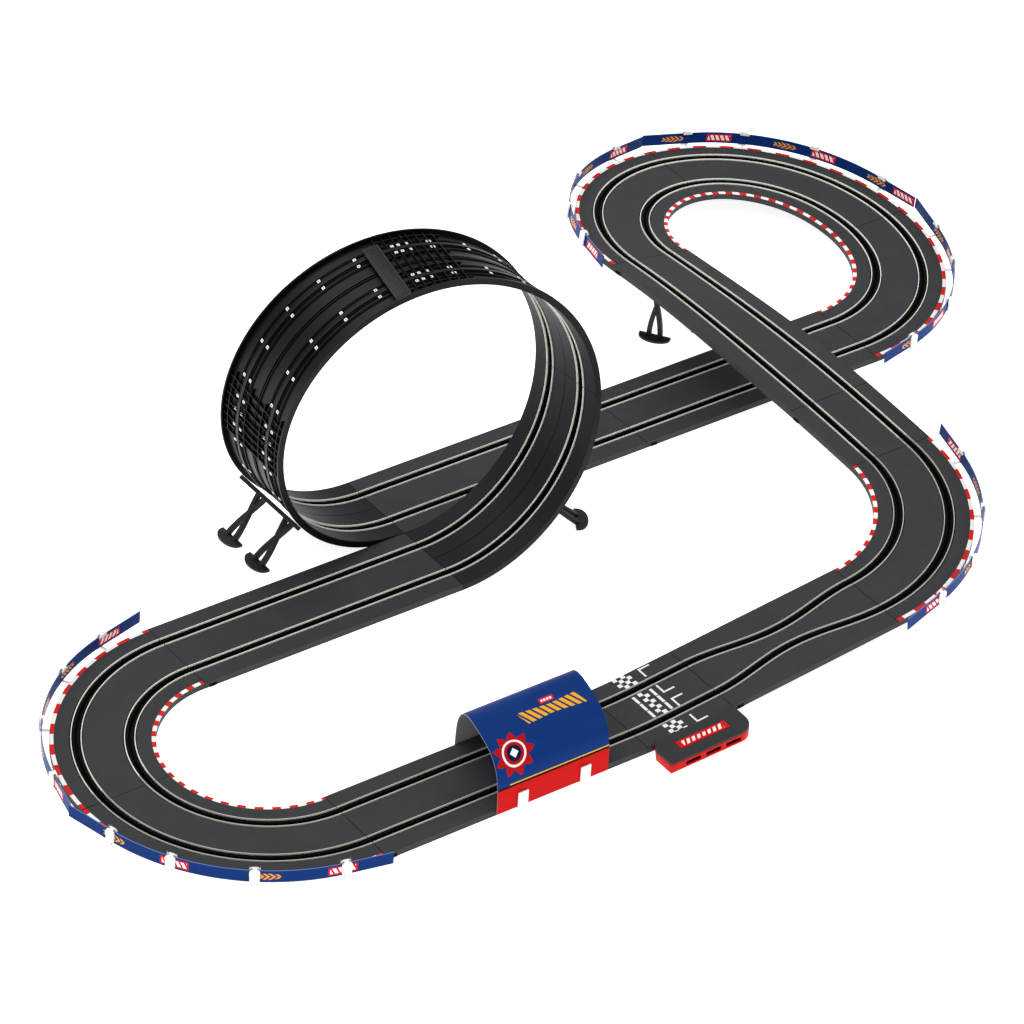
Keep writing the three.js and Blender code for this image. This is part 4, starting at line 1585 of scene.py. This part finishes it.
@dataclass
class Rails:
    """The four contact rails, in lengths that end at each track joint."""

    circuit: Circuit
    half: float = 1.2 * MM
    bottom: float = -0.6 * MM
    top: float = 0.3 * MM
    end_gap: float = 0.5 * MM

    def profile(self) -> list[Point]:
        """The rail's section: flat below and slightly crowned above."""
        half, top = self.half, self.top
        flat, shoulder = half * 0.7, top - 0.25 * MM
        return [
            (-half, self.bottom),
            (half, self.bottom),
            (half, shoulder),
            (flat, top),
            (-flat, top),
            (-half, shoulder),
        ]

    def paths(self, lane_side: int, rail_side: int) -> list[list[tuple[Vector, Vector]]]:
        """One rail's lengths round the whole circuit.

        Args:
            lane_side: -1 for the right lane and 1 for the left.
            rail_side: -1 for the rail right of the slot and 1 for the other.

        Returns:
            Places and up directions of each length.
        """
        offset = rail_side * self.circuit.rail_spacing / 2
        made = []
        for run in self.circuit.runs.values():
            steps = 45 if run.turn or "narrow" in run.name else 20
            path = []
            for station in self.circuit.stations(run, steps, self.end_gap, run.length - self.end_gap):
                lateral = lane_side * self.circuit.lane_at(run, station.share) + offset
                path.append((station.point(lateral, 0), station.up))
            made.append(path)
        gap = self.end_gap / self.circuit.loop_radius
        for arc in range(4):
            start, end = arc * math.pi / 2 + gap, (arc + 1) * math.pi / 2 - gap
            path = []
            for station in self.circuit.loop_stations(start, end, 60):
                path.append((station.point(lane_side * self.circuit.lane + offset, 0), station.up))
            made.append(path)
        return made

    def build(self) -> list[bpy.types.Object]:
        """Builds the four rails.

        Returns:
            The finished objects.
        """
        made = []
        names = {
            (-1, -1): "right_lane_outer",
            (-1, 1): "right_lane_inner",
            (1, -1): "left_lane_inner",
            (1, 1): "left_lane_outer",
        }
        for (lane, side), name in names.items():
            rail = PathSweep(f"rail_{name}_look", self.profile(), RAIL_METAL).build(self.paths(lane, side))
            made.append(dress(rail, CIRCUIT_BODY, [f"rail_{name}"]))
        return made


# ---- Barriers and posts -----------------------------------------------------------

C, B = Mark.CHEVRONS, Mark.BLOCK

# Where each strip's prints are, as shares of its curve.
BARRIER_MARKS: dict[str, tuple[tuple[float, Mark], ...]] = {
    "left_barrier_1": ((0.13, B), (0.335, C), (0.52, B), (0.715, C), (0.9, B)),
    "left_barrier_2": ((0.17, C), (0.37, B), (0.635, C), (0.85, B)),
    "right_barrier_1": ((0.13, B), (0.335, C), (0.52, B), (0.715, C), (0.9, B)),
    "far_barrier_1": ((0.085, B), (0.27, C), (0.47, B), (0.685, C), (0.875, B)),
    "far_barrier_2": ((0.11, C), (0.275, B), (0.5, C), (0.635, B), (0.84, C), (0.955, B)),
    "far_barrier_3": ((0.19, C), (0.315, B), (0.52, C), (0.695, B), (0.875, C)),
}


@dataclass
class Barriers:
    """Printed strips outside the curves, and the white posts that hold them."""

    circuit: Circuit
    families: tuple[tuple[str, int], ...] = (("left", 2), ("right", 1), ("far", 3))
    blue: str = "0a3070"
    offset: float = 8 * MM
    thickness: float = 1.2 * MM
    bottom: float = -1 * MM
    top: float = 14 * MM
    rim: float = 0.25 * MM
    end_gap: float = 0.0
    joint_gap: float = 0.15 * MM
    shares: tuple[float, ...] = (0.16, 0.36, 0.6, 0.86)
    steps: int = 24
    post_width: float = 11.4 * MM
    post_foot_inset: float = 0.8 * MM
    post_wall: float = 2 * MM
    post_slack: float = 0.9 * MM
    post_crown: float = 2.3 * MM
    post_low: float = -4.6 * MM
    post_corner: float = 4.2 * MM
    post_lip: float = 3.4 * MM
    slit_middle: float = 3.1 * MM
    slit_half: float = 1 * MM
    slit_span: tuple[float, float] = (-2.6 * MM, 1.6 * MM)
    bridge: tuple[float, float] = (4.4 * MM, 1.6 * MM)
    arm: tuple[float, float] = (3.4 * MM, 1.6 * MM)
    arm_level: float = -2.5 * MM

    def curves(self) -> list[tuple[str, int, bool, Run]]:
        """Every walled curve: its family, its number, whether it is the last, and its run."""
        made = []
        for family, count in self.families:
            for number in range(1, count + 1):
                name = "track_right_curve" if family == "right" else f"track_{family}_curve_{number}"
                made.append((family, number, number == count, self.circuit.runs[name]))
        return made

    def build_strip(self, family: str, number: int, last: bool, run: Run) -> bpy.types.Object:
        """Builds one curve's strip.

        Args:
            family: Which corner of the circuit it is at.
            number: Its number there.
            last: Whether no strip follows it.
            run: The curve.

        Returns:
            The finished object.
        """
        name = f"{family}_barrier_{number}"
        start = self.end_gap if number == 1 else self.joint_gap
        end = run.length - (self.end_gap if last else self.joint_gap)
        sign = -run.turn
        radius = self.circuit.radius + self.circuit.half + self.offset
        edge = sign * self.circuit.half
        first_post, last_post = self.shares[0] * run.length, self.shares[-1] * run.length
        alongs = [start]
        for i in range(self.steps + 1):
            alongs.append(first_post + (last_post - first_post) * i / self.steps)
        alongs.append(end)
        stations = [self.circuit.station(run, along) for along in alongs]

        def section(station: Station) -> list[Point]:
            """The strip's section, further out at its two straight ends."""
            along = station.share * run.length
            past = max(first_post - along, along - last_post, 0.0)
            flare = radius * (1 / math.cos(past / self.circuit.radius) - 1)
            near = self.offset + flare
            far = near + self.thickness
            rows = [
                (near, self.bottom),
                (far, self.bottom),
                (far, self.top - self.rim),
                (far - self.rim, self.top),
                (near + self.rim, self.top),
                (near, self.top - self.rim),
            ]
            return [(edge + sign * o, up) for o, up in rows]

        tones = [1, 0, 1, 1, 1, 0]
        marks = [self.bottom, self.bottom, self.top, self.top, self.top, self.top]
        mesh = Sweep(stations, section, tones, marks).mesh(f"{name}_look")
        print_length = run.length * radius / self.circuit.radius
        finish = BarrierPrint(
            f"{name}_print",
            self.blue,
            0.4,
            grain=0.05,
            blotch=0.05,
            shine=0.05,
            length=print_length,
            marks=BARRIER_MARKS[name],
        )
        piece = new_object(mesh.name, mesh, [finish, BARRIER_EDGE])
        return dress(piece, CIRCUIT_BODY, [name])

    def post_mesh(self) -> bpy.types.Mesh:
        """A post: a slotted plate with a round head, a lip over the strip and a foot.

        Returns:
            The mesh, with x outwards from the track's edge and z up.
        """
        half = self.post_width / 2
        inner = self.offset - self.post_slack
        outer = self.offset + self.thickness + self.post_slack
        crown = self.top + self.post_crown
        corner = self.post_corner
        head = [
            (math.cos(a) * corner + side * (half - corner), crown - corner + math.sin(a) * corner)
            for side, first in ((1, 0.0), (-1, math.pi / 2))
            for a in [first + math.pi / 2 * i / 8 for i in range(9)]
        ]
        below, above = self.slit_span
        slits = []
        for x in (-self.slit_middle, self.slit_middle):
            left, right = x - self.slit_half, x + self.slit_half
            slits.append([(left, below), (right, below), (right, above), (left, above)])
        foot = half - self.post_foot_inset
        rim = [(foot, self.post_low), *head, (-foot, self.post_low)]
        plate = plate_mesh("post_plate", rim, slits, self.post_wall)
        upright = Matrix.Rotation(-math.pi / 2, 4, "Z")
        plate.transform(Matrix.Translation((outer, 0, 0)) @ upright)
        lip_low = crown - self.post_lip
        lip = plate_mesh("post_lip", [(half, lip_low), *head, (-half, lip_low)], [], self.post_wall / 2)
        lip.transform(Matrix.Translation((inner - self.post_wall / 2, 0, 0)) @ upright)
        merged = bmesh.new()
        merged.from_mesh(plate)
        merged.from_mesh(lip)
        over = (outer - inner + 1.2 * MM, *self.bridge)
        under = (outer, *self.arm)
        for size, place in (
            (over, ((outer + inner) / 2, 0, crown - 1.0 * MM)),
            (under, (outer / 2 + 0.4 * MM, 0, self.arm_level)),
        ):
            part = box_mesh("post_part", size, 0.3 * MM)
            part.transform(Matrix.Translation(place))
            merged.from_mesh(part)
        mesh = bpy.data.meshes.new("post")
        merged.to_mesh(mesh)
        merged.free()
        return mesh

    def build(self) -> list[bpy.types.Object]:
        """Builds every strip and all the posts.

        Returns:
            The finished objects.
        """
        made = [self.build_strip(*curve) for curve in self.curves()]
        places: list[tuple[Vector, Matrix]] = []
        kept: list[str] = []
        for family, number, _, run in self.curves():
            sign = -run.turn
            for k, share in enumerate(self.shares):
                station = self.circuit.station(run, run.length * share)
                turn = Matrix((station.side * sign, station.forward * -sign, station.up)).transposed()
                places.append((station.point(sign * self.circuit.half, 0), turn))
                if k % 2:
                    kept.append(f"{family}_post_{(number - 1) * len(self.shares) + k + 1}")
        posts = Repeats("barrier_posts", self.post_mesh(), POST_WHITE).build(places)
        smooth(posts.data, 35)
        made.append(dress(posts, CIRCUIT_BODY, kept))
        return made


# ---- Tunnel -----------------------------------------------------------------------


@dataclass
class Tunnel:
    """The bent sheet over the straight, and the four clips that hold its feet."""

    circuit: Circuit
    length: float = 146 * MM
    start: float = 156 * MM
    rise: float = 60 * MM
    skew: float = 28 * MM
    sheet: float = 1 * MM
    offset: float = 1.6 * MM
    bottom: float = -5.4 * MM
    power: float = 3.2
    steps: int = 96
    blue: str = "0a3274"
    clip_bevel: float = 0.5 * MM

    def outline(self, inset: float) -> list[Point]:
        """The arch from its right foot over its crown to its left foot.

        Args:
            inset: Distance inside the outer face.

        Returns:
            The points in order.
        """
        half_span = self.circuit.half + self.offset + self.sheet - inset
        rise = self.rise - self.bottom - inset
        points = []
        for i in range(self.steps + 1):
            angle = math.pi * i / self.steps
            across = math.copysign(abs(math.cos(angle)) ** (2 / self.power), math.cos(angle))
            up = max(math.sin(angle), 0.0) ** (2 / self.power)
            points.append((-half_span * across, self.bottom + rise * up))
        return points

    def stations(self) -> list[Station]:
        """The two slanted ends of the sheet."""
        slant = self.skew / self.circuit.width
        side, up = Vector((slant, 1, 0)), Vector((0, 0, 1))
        middle = self.circuit.origin + Vector((self.start, -self.circuit.radius, 0))
        far = middle + Vector((self.length, 0, 0))
        forward = Vector((1, 0, 0))
        return [Station(middle, forward, side, up, 0.0), Station(far, forward, side, up, 1.0)]

    def build(self) -> list[bpy.types.Object]:
        """Builds the printed sheet and its clips.

        Returns:
            The finished objects.
        """
        outer, inner = self.outline(0), self.outline(self.sheet)[::-1]
        marks = [0.0]
        for before, after in zip(outer, outer[1:]):
            marks.append(marks[-1] + math.dist(before, after))
        girth = marks[-1]
        rows = outer + inner
        tones = [0] * self.steps + [1] * (self.steps + 2)
        finish = TunnelPrint(
            "tunnel_print",
            self.blue,
            0.4,
            grain=0.05,
            blotch=0.05,
            shine=0.05,
            length=self.length,
            girth=girth,
        )
        sweep = Sweep(self.stations(), lambda _: rows, tones, marks + marks[::-1])
        sheet = new_object("tunnel_sheet_look", sweep.mesh("tunnel_sheet_look"), [finish, TUNNEL_INNER])
        made = [dress(sheet, TUNNEL_BODY, ["tunnel_arch"])]
        log.info("tunnel sheet: %.0f mm round the arch", girth / MM)
        for place in ("near_1", "near_2", "away_1", "away_2"):
            node = f"tunnel_clip_{place}"
            clip = refined(node, f"{node}_look", CLIP_WHITE, self.clip_bevel)
            made.append(dress(clip, CIRCUIT_BODY, [node]))
        return made


# ---- Housing, supports and small parts ------------------------------------------------


@dataclass
class Housing:
    """The power housing beside the connecting section."""

    circuit: Circuit
    bevel: float = 0.6 * MM

    def build(self) -> list[bpy.types.Object]:
        """Builds the cover, the base, the sockets, the board and the label.

        Returns:
            The finished objects.
        """
        low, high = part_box("housing_label")
        middle = ((low.x + high.x) / 2, (low.y + high.y) / 2)
        label = LabelPrint("label_print", "d00c0e", 0.4, grain=0.05, blotch=0.03, shine=0.08, middle=middle)
        rows = (
            ("housing_cover", COVER_GREY, "cover", self.bevel),
            ("housing_base", BASE_RED, "base", self.bevel / 2),
            ("housing_label", label, "label", self.bevel / 3),
            ("circuit_board", BOARD_GREEN, "board", self.bevel / 3),
            ("power_socket", SOCKET_BLACK, "socket", self.bevel / 2),
            ("controller_socket_1", SOCKET_BLACK, "socket", self.bevel / 2),
            ("controller_socket_2", SOCKET_BLACK, "socket", self.bevel / 2),
        )
        return [
            dress(refined(node, f"{node}_look", finish, bevel), CIRCUIT_BODY, [node])
            for node, finish, slot, bevel in rows
        ]


@dataclass
class Supports:
    """Crossed legs under the loop and the bridge, and the loop's strap and tie plate."""

    circuit: Circuit
    bevel: float = 0.7 * MM
    strap_rows: int = 6
    strap_rib: tuple[float, float] = (1.1 * MM, 1.4 * MM)
    strap_middle: float = math.radians(166.5)
    strap_span: float = math.radians(5.0)
    strap_reach: float = 35 * MM
    strap_depth: float = 4.6 * MM

    def build(self) -> list[bpy.types.Object]:
        """Builds every support.

        Returns:
            The finished objects.
        """
        names = (
            "loop_strut_1",
            "loop_strut_2",
            "loop_stabiliser",
            "bridge_support_west",
            "bridge_support_east",
            "loop_strap",
            "loop_tie_plate",
        )
        made = []
        for name in names:
            bevel = self.bevel / 2 if name.startswith(("loop_strap", "loop_tie")) else self.bevel
            finish = STRAP_BLACK if name == "loop_strap" else SUPPORT_BLACK
            piece = refined(name, f"{name}_look", finish, bevel)
            made.append(dress(piece, CIRCUIT_BODY, [name]))
        made.append(self.build_strap_ribs())
        return made

    def build_strap_ribs(self) -> bpy.types.Object:
        """Puts raised ribs across the back of the loop's strap.

        Returns:
            The finished object.
        """
        width = self.circuit.half + self.strap_reach
        lateral = (self.circuit.half - self.strap_reach) / 2
        depth = -self.circuit.thickness - self.strap_depth
        shape = box_mesh("strap_rib", (width, *self.strap_rib), 0.3 * MM)
        places = []
        for row in range(self.strap_rows):
            angle = self.strap_middle + self.strap_span * ((row + 0.5) / self.strap_rows - 0.5)
            station = self.circuit.loop_station(angle)
            places.append((station.point(lateral, depth), facing(station)))
        ribs = Repeats("loop_strap_ribs", shape, STRAP_BLACK).build(places)
        return dress(ribs, CIRCUIT_BODY)


@dataclass
class JointTabs:
    """Small black tongues beside the track joints, one at the foot of an edge."""

    circuit: Circuit
    size: tuple[float, float, float] = (2.0 * MM, 9 * MM, 3.2 * MM)
    inset: float = 11 * MM
    outset: float = 0.2 * MM
    lift: float = 0.3 * MM

    def build(self) -> bpy.types.Object:
        """Puts a tongue at each end of each straight.

        Returns:
            The finished object.
        """
        shape = box_mesh("tongue", self.size, 0.4 * MM)
        lateral = self.circuit.half + self.outset
        up = -self.circuit.thickness + self.size[2] / 2 + self.lift
        places = []
        for run in self.circuit.runs.values():
            if run.turn or "connecting" in run.name:
                continue
            for along in (self.inset, run.length - self.inset):
                station = self.circuit.station(run, along)
                side = -1 if along == self.inset else 1
                places.append((station.point(side * lateral, up), facing(station)))
        tabs = Repeats("joint_tongues", shape, SLOT_SHADE_AND_TONGUE_BLACK).build(places)
        return dress(tabs, CIRCUIT_BODY)


# ---- Studio -------------------------------------------------------------------------


@dataclass
class Studio:
    """A pale floor, soft light from above and the camera."""

    circuit: Circuit
    lens: float = 192.7
    sensor: float = 36.0
    turn: float = math.radians(-38.256)
    pitch: float = math.radians(35.716)
    roll: float = math.radians(4.151)
    aim: tuple[float, float] = (0.26463, 0.24181)
    distance: float = 5.8385
    floor_reach: float = 30.0
    sky: float = 0.75

    def build_floor(self) -> None:
        """Lays the floor, which isn't part of the set."""
        mesh = bpy.data.meshes.new("floor")
        reach = self.floor_reach
        corners = [(-reach, -reach, 0), (reach, -reach, 0), (reach, reach, 0), (-reach, reach, 0)]
        mesh.from_pydata(corners, [], [(0, 1, 2, 3)])
        new_object("floor", mesh, [FLOOR_WHITE])

    def build_light(self) -> None:
        """Lights the set from all sides, with a soft key from above and behind."""
        world = bpy.data.worlds.new("studio")
        world.use_nodes = True
        background = world.node_tree.nodes["Background"]
        background.inputs["Color"].default_value = (1, 1, 1, 1)
        background.inputs["Strength"].default_value = self.sky
        bpy.context.scene.world = world
        rows = (
            ("key", (-0.8, 1.2, 2.6), 2.4, 34),
            ("fill", (1.9, -1.4, 2.2), 2.0, 14),
        )
        for name, place, size, power in rows:
            light = bpy.data.lights.new(name, "AREA")
            light.size = size
            light.energy = power
            lamp = bpy.data.objects.new(name, light)
            lamp.location = place
            lamp.rotation_euler = (-Vector(place)).to_track_quat("-Z", "Y").to_euler()
            bpy.context.scene.collection.objects.link(lamp)
        bpy.context.scene.view_settings.view_transform = "Standard"

    def build_camera(self) -> None:
        """Places the camera."""
        a, e, r = self.turn, self.pitch, self.roll
        back = Vector((math.sin(a) * math.cos(e), -math.cos(a) * math.cos(e), math.sin(e)))
        right = Vector((math.cos(a), math.sin(a), 0))
        up = back.cross(right)
        turned_right = right * math.cos(r) + up * math.sin(r)
        turned_up = up * math.cos(r) - right * math.sin(r)
        across, high = self.aim
        place = self.circuit.origin + turned_right * across + turned_up * high + back * self.distance
        data = bpy.data.cameras.new("camera")
        data.lens = self.lens
        data.sensor_width = self.sensor
        data.clip_end = 100
        camera = bpy.data.objects.new("camera", data)
        turn = Matrix((turned_right, turned_up, back)).transposed().to_4x4()
        camera.matrix_world = Matrix.Translation(place) @ turn
        bpy.context.scene.collection.objects.link(camera)
        bpy.context.scene.camera = camera

    def build(self) -> None:
        """Builds the floor, the lights and the camera."""
        self.build_floor()
        self.build_light()
        self.build_camera()


def main() -> None:
    """Builds every sub-assembly in order, then the studio."""
    logging.basicConfig(level=logging.INFO, format="%(message)s")
    circuit = Circuit()
    Track(circuit).build()
    Loop(circuit).build()
    Rails(circuit).build()
    Barriers(circuit).build()
    Tunnel(circuit).build()
    Housing(circuit).build()
    Supports(circuit).build()
    JointTabs(circuit).build()
    Studio(circuit).build()


if __name__ == "__main__":
    main()
